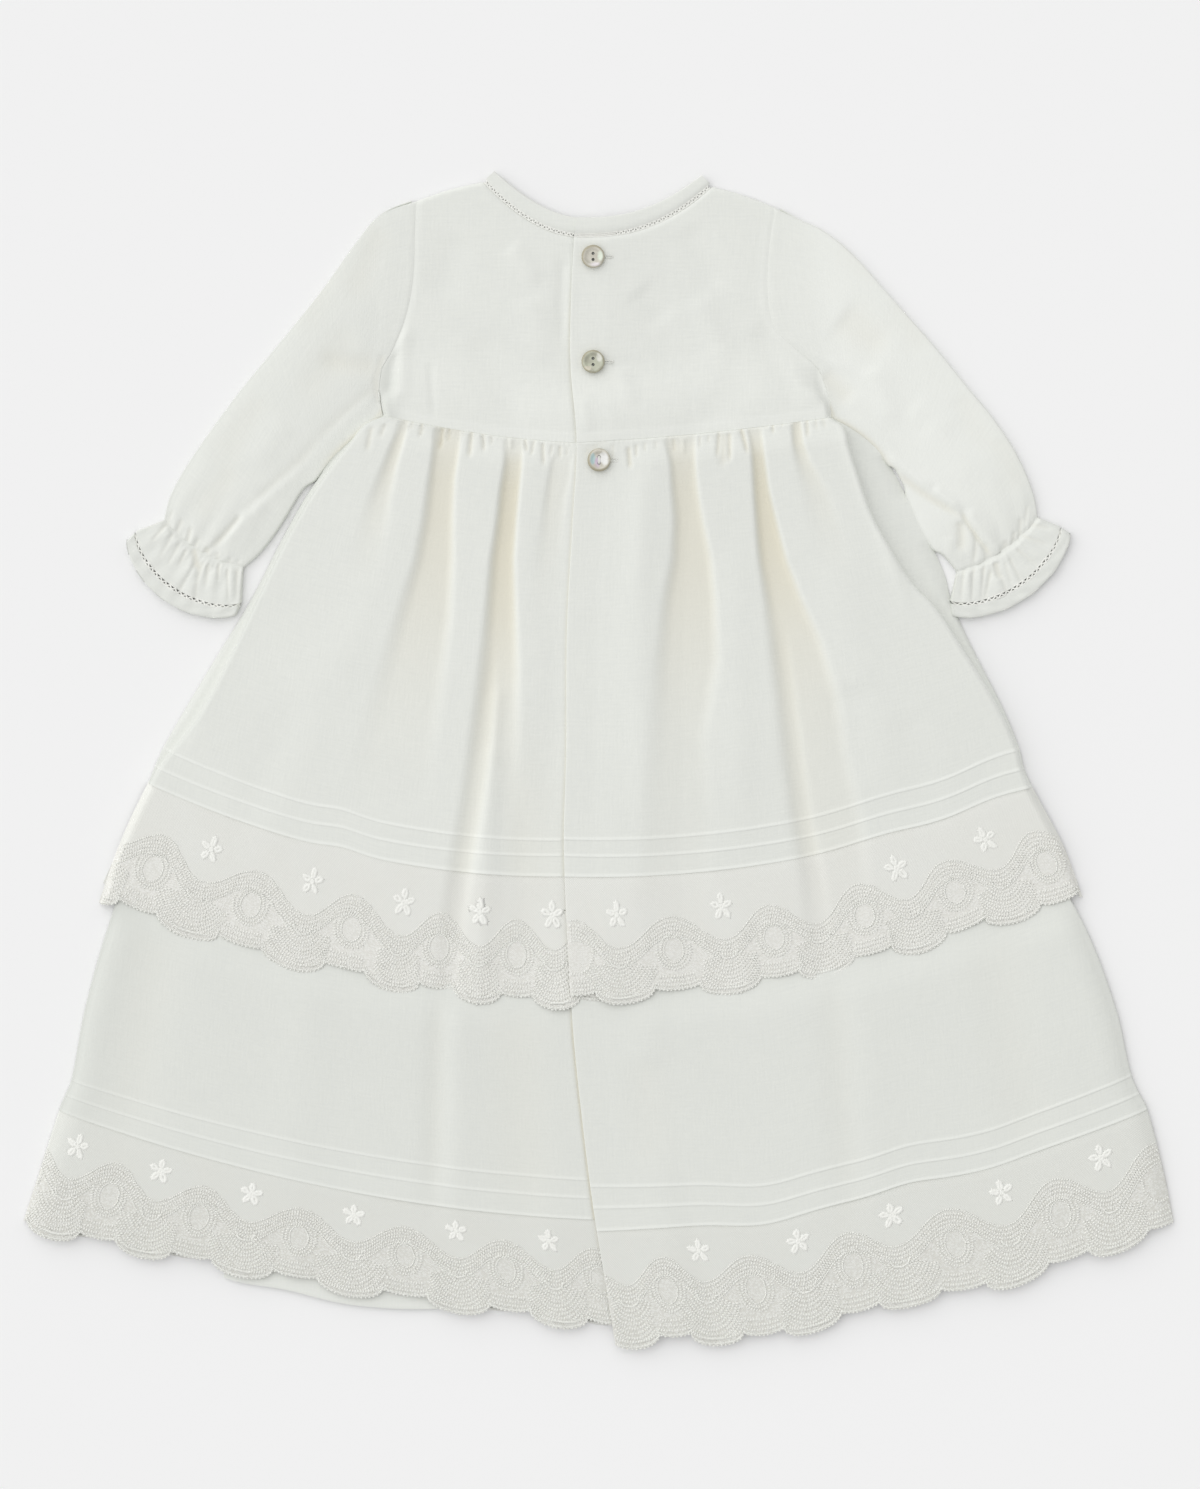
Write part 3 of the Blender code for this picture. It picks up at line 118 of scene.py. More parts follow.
class Value:
    # one socket of a node tree, so that sums on it are written as sums
    def __init__(self, graph, socket):
        self.graph, self.socket = graph, socket

    def join(self, operation, first, second=None):
        return self.graph.add("ShaderNodeMath", {"operation": operation}, {0: first, 1: second})

    def __add__(self, other):
        return self.join("ADD", self, other)

    def __sub__(self, other):
        return self.join("SUBTRACT", self, other)

    def __rsub__(self, other):
        return self.join("SUBTRACT", other, self)

    def __mul__(self, other):
        return self.join("MULTIPLY", self, other)

    def __pow__(self, other):
        return self.join("POWER", self, other)

    __radd__ = __add__
    __rmul__ = __mul__

    def sine(self):
        return self.join("SINE", self)

    def wireTo(self, socket):
        self.graph.tree.links.new(self.socket, socket)


class Graph:
    # one node tree; every node comes from add
    def __init__(self, tree):
        self.tree = tree

    def add(self, kind, settings=None, inputs=None, output=0):
        node = self.tree.nodes.new(kind)
        for name, value in (settings or {}).items():
            setattr(node, name, value)
        for name, value in (inputs or {}).items():
            if isinstance(value, Value):
                value.wireTo(node.inputs[name])
            elif value is not None:
                node.inputs[name].default_value = value
        return Value(self, node.outputs[output])

    def split(self, vector):
        parts = self.add("ShaderNodeSeparateXYZ", None, {0: vector}).socket.node.outputs
        return [Value(self, part) for part in parts]

    def coordinates(self, kind):
        return self.add("ShaderNodeTexCoord", output=kind)

    def plane(self, u, v):
        return self.add("ShaderNodeCombineXYZ", None, {0: u, 1: v})

    def mark(self, name):
        return self.add("ShaderNodeAttribute", {"attribute_name": name}, None, "Fac")

    def limit(self, value):
        return self.add("ShaderNodeClamp", None, {0: value})

    def blend(self, factor, first, second):
        # colours are mixed here, because a Math node would turn them grey
        first, second = ((*tone, 1.0) if isinstance(tone, tuple) else tone for tone in (first, second))
        return self.add("ShaderNodeMix", {"data_type": "RGBA"}, {0: factor, 6: first, 7: second}, 2)

    def noise(self, vector, scale, detail=2.0):
        return self.add("ShaderNodeTexNoise", None, {"Vector": vector, "Scale": scale, "Detail": detail})


def newMaterial(name, roughness, sheen=0.0, specular=0.3, coat=0.0):
    made = bpy.data.materials.new(name)
    made.use_nodes = True
    shader = made.node_tree.nodes["Principled BSDF"]
    shader.inputs["Roughness"].default_value = roughness
    shader.inputs["Sheen Weight"].default_value = sheen
    shader.inputs["Sheen Roughness"].default_value = 0.4
    shader.inputs["Specular IOR Level"].default_value = specular
    shader.inputs["Coat Weight"].default_value = coat
    shader.inputs["Coat Roughness"].default_value = 0.12
    return made, Graph(made.node_tree), shader.inputs


def dress(graph, sockets, color, height, strength, distance):
    # the last step of a finish: its colour and its fine relief
    relief = {"Strength": strength, "Distance": distance * mm, "Height": height}
    graph.add("ShaderNodeBump", None, relief).wireTo(sockets["Normal"])
    color.wireTo(sockets["Base Color"])


linenLook = {
    "color": (0.838, 0.851, 0.804),
    "shade": (0.803, 0.818, 0.776),
    "creamTintAndFoldShade": (0.780, 0.748, 0.630),     # painted shade, cream, in the bottoms of folds, along grooves and between gathers
    "doubledAndPaintedLight": (0.925, 0.940, 0.898),   # where the cloth lies double, and painted light on a shaded ramp and over the right sleeve
    "thinClothAndPaintedShade": (0.665, 0.682, 0.642),      # painted shade at turned edges and on shaded strips, and greyer single cloth
    "yarn": 0.62,
    "relief": 0.10,
}


def linenMaterial(name, look):
    # slubby plain weave: the yarns' crossings, and uneven thick places along both threads.
    # The UV map of every cloth piece is in units of 100 mm along the grain.
    made, graph, sockets = newMaterial(name, 0.86, sheen=0.08, specular=0.2)
    u, v, _ = graph.split(graph.coordinates("UV"))
    across = graph.noise(graph.plane(u * 9.0, v * 0.9), 10.0, 3.0)
    along = graph.noise(graph.plane(u * 0.9, v * 9.0), 10.0, 3.0)
    turns = 2 * math.pi * 100 / look["yarn"]
    crossing = (u * turns + across * 5.0).sine() * (v * turns + along * 5.0).sine()
    slubs = across + along - 1.0
    cloudy = graph.noise(graph.plane(u, v), 3.2, 3.0)
    lightness = slubs * 1.6 + cloudy * 0.8 + crossing * 0.12 + 0.05
    color = graph.blend(graph.limit(lightness), look["shade"], look["color"])
    # lighter where the cloth lies double and where light is painted; greyer where shade is painted at edges
    # and on single cloth; cream painted shade in the bottoms of folds
    color = graph.blend(graph.mark("doubledAndPaintedLight") * 0.55, color, look["doubledAndPaintedLight"])
    color = graph.blend(graph.mark("thinClothAndPaintedShade"), color, look["thinClothAndPaintedShade"])
    color = graph.blend(graph.mark("deep"), color, look["creamTintAndFoldShade"])
    dress(graph, sockets, color, crossing * 0.35 + slubs * 2.4, 0.55, look["relief"])
    return made


netLook = {
    "color": (0.862, 0.868, 0.825),
    # cream in random patches, and painted shade in the bottoms of folds
    "creamTintAndFoldShade": (0.81, 0.795, 0.72),
    "dot": (0.915, 0.912, 0.872),       # the thread's ground where the embroidery is dense
    "gap": (0.830, 0.822, 0.770),
    "dots": 88.0,
    "mesh": 0.95,
    "hole": 0.10,
}
lowerNetLook = {**netLook, "color": (0.812, 0.824, 0.78), "dot": (0.865, 0.866, 0.826),
                "gap": (0.755, 0.748, 0.695)}


def netMaterial(name, look):
    made, graph, sockets = newMaterial(name, 0.8, sheen=0.05, specular=0.2)
    u, v, _ = graph.split(graph.coordinates("UV"))
    wobble = graph.noise(graph.plane(u, v), 30.0)
    turns = 2 * math.pi * 100 / look["mesh"]
    holes = (u * turns + wobble * 3.0).sine() * (v * turns * 0.9 + wobble * 3.0).sine()
    cloudy = graph.noise(graph.plane(u, v), 4.0, 3.0)
    # cream in random patches, plus painted shade in the bottoms of folds
    warmthAndFoldShade = graph.limit(cloudy * 0.4 - 0.1 + graph.mark("deep") * 0.8)
    dense = graph.mark("dense")
    grain = graph.add("ShaderNodeTexVoronoi", None, {
        "Vector": graph.plane(u, v * 1.25), "Scale": look["dots"]})
    stitched = graph.blend(graph.limit(grain * 3.4 - 1.15), look["dot"], look["gap"])
    color = graph.blend(dense * 0.9, graph.blend(warmthAndFoldShade, look["color"], look["creamTintAndFoldShade"]), stitched)
    (1.0 - look["hole"] * graph.limit(holes * 1.4 + 0.4)).wireTo(sockets["Alpha"])
    dress(graph, sockets, color, (0.5 - holes) * 0.6 - grain * dense * 2.2, 0.6, 0.15)
    return made


threadLook = {"color": (0.945, 0.950, 0.910), "shade": (0.87, 0.87, 0.82)}


def threadMaterial(name, look):
    made, graph, sockets = newMaterial(name, 0.5, sheen=0.1, specular=0.4)
    twist = graph.noise(graph.coordinates("Object"), 900.0)
    color = graph.blend(graph.limit(twist * 1.6 - 0.3), look["shade"], look["color"])
    dress(graph, sockets, color, twist, 0.4, 0.1)
    return made


finishes = {
    "linen": linenMaterial("linenCloth", linenLook),
    "lining": linenMaterial("liningCotton", {**linenLook, "yarn": 0.4, "relief": 0.04}),
    "net": netMaterial("embroideredNet", netLook),
    "lowerNet": netMaterial("lowerNet", lowerNetLook),
    "thread": threadMaterial("embroideryThread", threadLook),
}
print("materials ready")


def addObject(name, data):
    made = bpy.data.objects.new(name, data)
    bpy.context.scene.collection.objects.link(made)
    return made


def placePiece(made, node):
    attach(made, "root")
    if node:
        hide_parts(node)
    return made


def clothPiece(name, place, grain, node, finish="linen", marks=None,
               thickness=wall["shell"]):
    # A thin shell under a grid of places, (x, y, z) by rows and columns; a tube repeats its first
    # column at the end. grain: the same grid laid flat along the threads, as (u, v). marks, each from
    # 0 to 1: "deep" for painted shade in the bottoms of folds and along grooves, the doubled mark where
    # the cloth lies double and for painted light, the thin-cloth mark for painted shade at turned edges
    # and on shaded strips and where single cloth looks greyer, and on lace "dense" where the embroidery
    # covers the net.
    points = grid(*place)
    rows, columns = points.shape[:2]
    flat = np.stack([np.broadcast_to(part, (rows, columns)) for part in grain], axis=-1)
    tube = bool(np.allclose(points[:, 0], points[:, -1]))
    around = columns - 1 if tube else columns
    index = np.arange(rows * around).reshape(rows, around)
    if tube:
        index = np.concatenate([index, index[:, :1]], axis=1)
    corners = [(0, 0), (0, 1), (1, 1), (1, 0)]
    quads = np.stack([index[r:rows - 1 + r, c:columns - 1 + c] for r, c in corners], axis=-1)
    spread = np.stack([flat[r:rows - 1 + r, c:columns - 1 + c] for r, c in corners], axis=-2)
    first, second = points[1:, 1:] - points[:-1, :-1], points[1:, :-1] - points[:-1, 1:]
    upward = first[..., 0] * second[..., 1] - first[..., 1] * second[..., 0]
    if (upward * (points[1:, 1:, 2] + points[:-1, :-1, 2])).sum() < 0:  # the faces point outwards
        quads, spread = quads[:, :, ::-1], spread[:, :, ::-1]
    mesh = bpy.data.meshes.new(name)
    mesh.from_pydata((points[:, :around].reshape(-1, 3) * mm).tolist(), [], quads.reshape(-1, 4).tolist())
    mesh.uv_layers.new(name="grain").data.foreach_set("uv", (spread.reshape(-1) / 100.0).astype(np.float32))
    for mark, values in (marks or {}).items():
        values = np.broadcast_to(values, (rows, columns))[:, :around]
        mesh.attributes.new(mark, "FLOAT", "POINT").data.foreach_set(
            "value", clamp(values).reshape(-1).astype(np.float32))
    used = np.empty(len(mesh.loops), np.int32)
    mesh.loops.foreach_get("edge_index", used)
    mesh.polygons.foreach_set("use_smooth", [True] * len(mesh.polygons))
    mesh.attributes.new("sharp_edge", "BOOLEAN", "EDGE").data.foreach_set(
        "value", np.bincount(used, minlength=len(mesh.edges)) == 1)  # raw edges keep a crisp rim
    mesh.materials.append(finishes[finish])
    made = addObject(name, mesh)
    body = made.modifiers.new("clothThickness", "SOLIDIFY")
    body.thickness = thickness * mm
    body.offset = -1.0
    return placePiece(made, node)


def stitchTree():
    # equal steps along each path, with one small spindle of thread at each step
    tree = bpy.data.node_groups.new("stitchesAlongPath", "GeometryNodeTree")
    tree.is_modifier = True
    sizes = ("Spacing", "Length", "Width", "Height", "Turn", "Uneven")
    wanted = [("Geometry", "Geometry"), *((name, "Float") for name in sizes), ("Seed", "Int"),
              ("Thread", "Material")]
    for name, kind in wanted:
        tree.interface.new_socket(name, in_out="INPUT", socket_type="NodeSocket" + kind)
    tree.interface.new_socket("Geometry", in_out="OUTPUT", socket_type="NodeSocketGeometry")
    graph = Graph(tree)
    source = graph.add("NodeGroupInput").socket.node
    given = {out.name: Value(graph, out) for out in source.outputs if out.name}

    def chance(seed):
        limits = {2: -1.0, 3: 1.0, "Seed": seed}
        return graph.add("FunctionNodeRandomValue", {"data_type": "FLOAT"}, limits, 1)

    path = graph.add("GeometryNodeMeshToCurve", None, {0: given["Geometry"]})
    steps = graph.add("GeometryNodeCurveToPoints", {"mode": "LENGTH"}, {
        "Curve": path, "Length": given["Spacing"]})
    tangent = Value(graph, steps.socket.node.outputs["Tangent"])
    lift = graph.add("GeometryNodeInputNamedAttribute", {"data_type": "FLOAT_VECTOR"}, {"Name": "lift"})
    upright = graph.add("FunctionNodeAlignRotationToVector", {"axis": "Z"}, {"Vector": lift})
    facing = graph.add("FunctionNodeAlignRotationToVector", {"axis": "X", "pivot_axis": "Z"}, {
        "Rotation": upright, "Vector": tangent})
    turn = given["Turn"] + chance(given["Seed"]) * given["Uneven"]
    turned = graph.add("FunctionNodeRotateRotation", {"rotation_space": "LOCAL"}, {
        "Rotation": facing, "Rotate By": graph.add("ShaderNodeCombineXYZ", None, {2: turn})})
    swell = 1.0 + chance(given["Seed"] + 40.0) * given["Uneven"]
    size = graph.add("ShaderNodeCombineXYZ", None, {
        0: given["Length"] * swell, 1: given["Width"] * swell, 2: given["Height"]})
    spindle = graph.add("GeometryNodeMeshUVSphere", None, {"Segments": 4, "Rings": 2, "Radius": 0.5})
    lying = graph.add("GeometryNodeTransform", None, {
        "Geometry": spindle, "Rotation": (0.0, math.pi / 2, 0.0)})
    placed = graph.add("GeometryNodeInstanceOnPoints", None, {
        "Points": steps, "Instance": lying, "Rotation": turned, "Scale": size})
    real = graph.add("GeometryNodeRealizeInstances", None, {"Geometry": placed})
    smooth = graph.add("GeometryNodeSetShadeSmooth", None, {"Geometry": real})
    done = graph.add("GeometryNodeSetMaterial", None, {"Geometry": smooth, "Material": given["Thread"]})
    done.wireTo(tree.nodes.new("NodeGroupOutput").inputs[0])
    return tree


stitches = stitchTree()
treeInputs = {item.name: item.identifier for item in stitches.interface.items_tree
              if item.item_type == "SOCKET" and item.in_out == "INPUT"}


def sewStitches(paths, style, uneven=0.18):
    # paths: (points, lift directions, closed) in mm; gives one plain mesh of thread
    points, lifts, edges = [], [], []
    for places, lift, closed in paths:
        start = sum(len(part) for part in points)
        count = len(places)
        edges += [(start + k, start + k + 1) for k in range(count - 1)]
        edges += [(start + count - 1, start)] if closed else []
        points.append(places)
        lifts.append(np.broadcast_to(lift, places.shape))
    mesh = bpy.data.meshes.new("stitchGuide")
    mesh.from_pydata((np.concatenate(points) * mm).tolist(), edges, [])
    mesh.attributes.new("lift", "FLOAT_VECTOR", "POINT").data.foreach_set(
        "vector", np.concatenate(lifts).reshape(-1).astype(np.float32))
    guide = addObject("stitchGuide", mesh)
    sewing = guide.modifiers.new("sewing", "NODES")
    sewing.node_group = stitches
    given = {name: style[name.lower()] * mm for name in ("Spacing", "Length", "Width", "Height")}
    given.update(Turn=style["turn"], Uneven=uneven, Seed=style["seed"], Thread=finishes["thread"])
    for name, value in given.items():
        sewing[treeInputs[name]] = value
    depsgraph = bpy.context.evaluated_depsgraph_get()
    made = bpy.data.meshes.new_from_object(guide.evaluated_get(depsgraph))
    bpy.data.objects.remove(guide)
    bpy.data.meshes.remove(mesh)
    return made


def threadPiece(name, meshes):
    # joins the sewn meshes into one piece
    points, faces, start = [], [], 0
    for mesh in meshes:
        flatPoints = np.empty(len(mesh.vertices) * 3, np.float32)
        mesh.vertices.foreach_get("co", flatPoints)
        points.append(flatPoints.reshape(-1, 3))
        faces += [[start + v for v in face.vertices] for face in mesh.polygons]
        start += len(mesh.vertices)
        bpy.data.meshes.remove(mesh)
    joined = bpy.data.meshes.new(name)
    joined.from_pydata(np.concatenate(points).tolist(), [], faces)
    joined.polygons.foreach_set("use_smooth", [True] * len(joined.polygons))
    joined.materials.append(finishes["thread"])
    return placePiece(addObject(name, joined), None)


# centre back edge of the right-hand pieces
opening = {
    "y": [280, 238, 205, 165, 125, 69, 5, -46, -128, -177, -242, -310],
    "x": [-12.3, -14.4, -14.6, -11.4, -13.4, -16.4, -16.8, -18, -14.2, -9.7, -1.4, 10.6],
}


def openingX(y):
    return curve(opening, "y", y, "x")


# cross lines of the four skirt panels, waist to hem
overLeft = {
    "down": [0, 0.025, 0.06, 0.11, 0.18, 0.27, 0.38, 0.52, 0.62, 0.7, 0.735, 0.77, 0.88, 1],
    "sideX": [-112.6, -123, -131.5, -140.7, -153.2, -165.7, -180.4, -201.4, -215.8, -227, -231.2,
              -234.6, -248.4, -260.3],
    "sideY": [179.4, 175, 165, 154.4, 136.2, 113.9, 85, 50, 26, 6.2, -3.2, -11.6, -39.5, -67.2],
    "openingY": [164.8, 157.5, 147.3, 132.7, 112.2, 85.9, 53.7, 12.8, -16.4, -41.6, -49.6, -60.2,
                 -93.2, -122.6],
    "sag": [2.3, 2.8, 3.4, 4.2, 5.4, 7, 8.6, 10.6, 11.8, 12.6, 12.6, 12.8, 13.8, 12],
    "strip": [1, 1, 1.5, 2, 2, 2, 2.5, 6, 7, 4, 2, 1, 1, 1],
}
overRight = {
    "down": [0, 0.025, 0.06, 0.11, 0.18, 0.27, 0.325, 0.38, 0.52, 0.62, 0.7, 0.735, 0.77, 0.88, 1],
    "sideX": [121.9, 134.5, 143.2, 152.6, 162.8, 174.4, 180.6, 184.0, 198.9, 210.8, 219.4, 221.8,
              225.8, 241.4, 251.9],
    "sideY": [178.4, 173.5, 164.4, 151.8, 132.1, 110, 95.6, 82, 49.6, 24.2, 3.2, -6.4, -15.2, -42.6,
              -67.4],
    "openingY": [164.8, 157.5, 147.3, 132.7, 112.2, 85.9, 69.8, 53.7, 12.8, -16.4, -41, -49.6, -60.2,
                 -93, -120.4],
    "sag": [1.6, 1.8, 2.2, 3, 4.2, 6, 7.1, 8.2, 10.8, 12.4, 13.2, 13.2, 13, 12.6, 12.2],
    "strip": [1, 6, 12, 17, 20, 19, 16, 8, 3, 1.5, 1, 1, 1, 1, 1],
}
underLeft = {
    "down": [0, 0.03, 0.08, 0.2, 0.4, 0.56, 0.64, 0.74, 0.83, 0.852, 0.876, 0.94, 1],
    "sideX": [-99, -108.5, -123.5, -150, -196.5, -241, -256, -267.6, -274.6, -277.8, -281, -290.6,
              -299.6],
    "sideY": [185.4, 171.6, 150, 109, 32, -48, -88, -129.5, -166.5, -174.2, -182, -212, -238.6],
    "openingY": [170.3, 156, 133, 80, -10, -96, -138, -178, -218.4, -227.8, -238.7, -266, -291.6],
    "sag": [2.3, 2.6, 3.8, 6, 10, 12, 12, 10, 9.4, 10.4, 11.2, 7, 3.6],
}
underRight = {
    "down": [0, 0.03, 0.08, 0.2, 0.4, 0.56, 0.64, 0.74, 0.83, 0.852, 0.876, 0.94, 1],
    "sideX": [107, 115.5, 126, 144, 190, 231, 254, 269.6, 277.6, 281.6, 285.8, 294, 299.6],
    "sideY": [184.4, 171, 149, 105, 32, -46, -88, -129.5, -164, -173.4, -181.4, -212, -238.4],
    "openingY": [170.3, 156, 133, 80, -10, -96, -138, -178, -221.6, -232.8, -244.6, -272, -299.4],
    "sag": [1.6, 2, 2.8, 6, 10, 13, 15, 16.4, 15.6, 14.6, 13.4, 13, 12.4],
}

overskirt = {"length": 290.0, "stretch": 1.14, "hem": 0.782, "tucks": [0.700, 0.735, 0.770]}
underskirt = {"length": 465.0, "stretch": 1.04, "hem": 0.884, "tucks": [0.830, 0.852, 0.876]}
tuckRise = 0.26

# inner: where a panel's even columns end, in mm from its opening. lobes: x of the lace's large lobes.
# waves: places where the skirt lies higher or lower than its cross lines. noFlower: a lobe without one.
panels = {
    "overLeft": {"lines": overLeft, "inner": 2.5,
                 "lobes": [-264.0, -215.1, -158.0, -106.0, -63.0, -22.0, 20.0],
                 "waves": {"x": [-133.0], "up": [2.0], "width": [12.0]}},
    "overRight": {"lines": overRight, "inner": lap["clear"],
                  "lobes": [-34.0, 12.2, 70.0, 119.0, 166.6, 215.5, 264.0], "noFlower": 119.0,
                  "waves": {"x": [150.0, 205.0], "up": [2.6, 3.6], "width": [26.0, 22.0]}},
    "underLeft": {"lines": underLeft, "inner": 8.0,
                  "lobes": [-330.0, -284.0, -237.4, -186.5, -129.3, -72.0, -20.1, 30.0]},
    "underRight": {"lines": underRight, "inner": lap["clear"],
                   "lobes": [-28.0, 20.0, 60.0, 112.0, 161.0, 218.6, 270.6, 322.0], "noFlower": 20.0,
                   "waves": {"x": [86.0, 161.0, 205.0], "up": [-4.2, 2.6, -1.2],
                             "width": [24.0, 18.0, 18.0]}},
}
for name, panel in panels.items():
    panel["toward"] = 1.0 if name.endswith("Left") else -1.0  # the way from its side to the opening
    panel["over"] = name.startswith("over")
    panel.update(overskirt if panel["over"] else underskirt)

# the lace's lobes, and y where the overskirt's two backs part at the hem
scallop = {"deep": 7.4, "small": 2.0, "share": 0.60, "partY": -122.0}

# the overskirt's deep folds: where their two edges run, how deep they are and how soft their edges
sunkFolds = [
    {"y": [178, 166.5, 151, 135, 114.5, 88.5],
     "left": [-103, -107, -113, -119, -125, -132],
     "right": [-100, -103, -107.5, -110.5, -113.5, -118],
     "depth": [1.4, 2.4, 2.2, 1.3, 0.5, 0],
     "soft": [1.6, 1.8, 2.4, 3.5, 5, 6]},
    {"y": [177, 171.5, 161, 145.5, 125, 104, 73, 41.5, 10.5, -26],
     "left": [-85.5, -86, -86.5, -88.5, -91, -95, -104.5, -113.5, -122, -129.5],
     "right": [-73, -73.5, -74.5, -77, -78, -78, -79.5, -83.5, -87.5, -90.5],
     "depth": [0.6, 2.0, 3.0, 3.6, 3.6, 3.0, 2.2, 1.4, 0.7, 0],
     "soft": [1.2, 1.3, 1.6, 2, 2.6, 3.2, 4.5, 6, 7, 8]},
    {"y": [168.5, 160, 153.5, 140.5, 125, 104, 73, 47, 21, -10.5, -36.5],
     "left": [-50, -49.5, -49.5, -51.5, -53, -56, -58.5, -61, -64.5, -68, -70.5],
     "right": [-42, -41.5, -42, -43.5, -45, -46.5, -45.5, -44.5, -44.5, -45, -45],
     "depth": [0.5, 1.6, 3.6, 5.0, 5.2, 5.0, 4.4, 3.2, 1.8, 0.5, 0],
     "soft": [1.2, 1.3, 1.6, 1.8, 2, 2.4, 3, 4, 4.5, 5, 5]},
    {"y": [62.5, 36.5, 10.5, -21, -52, -83, -114.5, -145.5],
     "left": [-60.5, -62.5, -66, -70.5, -76, -80.5, -84, -87.5],
     "right": [-55, -56.5, -58, -62, -67.5, -72, -76, -79.5],
     "depth": [0, 1.4, 2.2, 2.4, 2.4, 2.2, 1.8, 1.0],
     "soft": [3, 3, 3.4, 3.6, 4, 4, 4, 4]},
    {"y": [31, 0, -26, -52, -83, -114.5, -145.5],
     "left": [-51.5, -48.5, -47.5, -47.5, -45, -43.5, -42],
     "right": [-20, -19, -17, -15, -13, -10.5, -9.5],
     "depth": [0, 0.8, 1.5, 1.9, 1.9, 1.6, 0.8],
     "soft": [10, 8, 8, 8, 8, 8, 8]},
    {"y": [160, 154, 145.5, 135, 119.5, 101.5, 73],
     "left": [-23.5, -25.5, -27, -28.5, -30, -32, -34],
     "right": [-15, -16, -17, -19.5, -21, -22, -22.5],
     "depth": [0.6, 1.8, 2.2, 2.2, 1.5, 0.6, 0],
     "soft": [1.2, 1.3, 1.6, 2, 3, 4, 5]},
    {"y": [169.5, 163.5, 153.5, 140.5, 125, 104, 83, 52, 10.5, -31, -73, -114.5],
     "left": [33.5, 34, 36.5, 37.5, 39, 38, 34, 31, 29, 25.5, 24, 21.5],
     "right": [48.5, 48, 48, 49, 51.5, 56, 58, 59.5, 52.5, 56, 52.5, 52.5],
     "depth": [0.5, 1.8, 3.0, 3.6, 3.6, 3.2, 2.8, 2.1, 1.2, 0.6, 0.4, 0],
     "soft": [1.3, 1.4, 1.6, 2, 2.4, 3, 3.6, 4.6, 6, 7, 7, 7]},
    {"y": [174.5, 166.5, 156, 140.5, 119.5, 104, 83, 62.5, 31, 0, -31, -62.5, -93.5, -130],
     "left": [75.5, 77.5, 79, 80, 81.5, 83, 86.5, 89, 93, 96.5, 100.5, 106.5, 109, 111],
     "right": [82.5, 83, 84, 86, 91, 95, 103, 112.5, 122, 126.5, 134, 137.5, 134, 128],
     "depth": [0.6, 2.4, 4.4, 5.2, 5.2, 4.8, 4.0, 3.0, 2.2, 1.6, 1.3, 1.2, 1.3, 0.8],
     "soft": [1.2, 1.3, 1.5, 1.8, 2, 2.4, 3, 4, 5, 6, 6, 6, 6, 6]},
    {"y": [73, 57, 31, 0, -31, -62.5, -93.5, -125],
     "left": [89, 90, 93, 96.5, 100.5, 106, 109, 111],
     "right": [95.5, 96.5, 100, 104, 108.5, 115, 119, 121.5],
     "depth": [0, 0.9, 1.3, 1.5, 1.5, 1.4, 1.2, 0],
     "soft": [2, 2.4, 3, 3, 3, 3.4, 4, 4]},
    {"y": [180, 173.5, 164.5, 155, 140.5, 119.5, 93.5],
     "left": [99, 99.5, 100, 102, 106.5, 111, 115],
     "right": [102.5, 103, 104, 107.5, 116, 123.5, 128.5],
     "depth": [0.8, 2.8, 2.8, 1.8, 0.9, 0.4, 0],
     "soft": [1.2, 1.3, 1.5, 2.4, 4, 5, 5]},
]

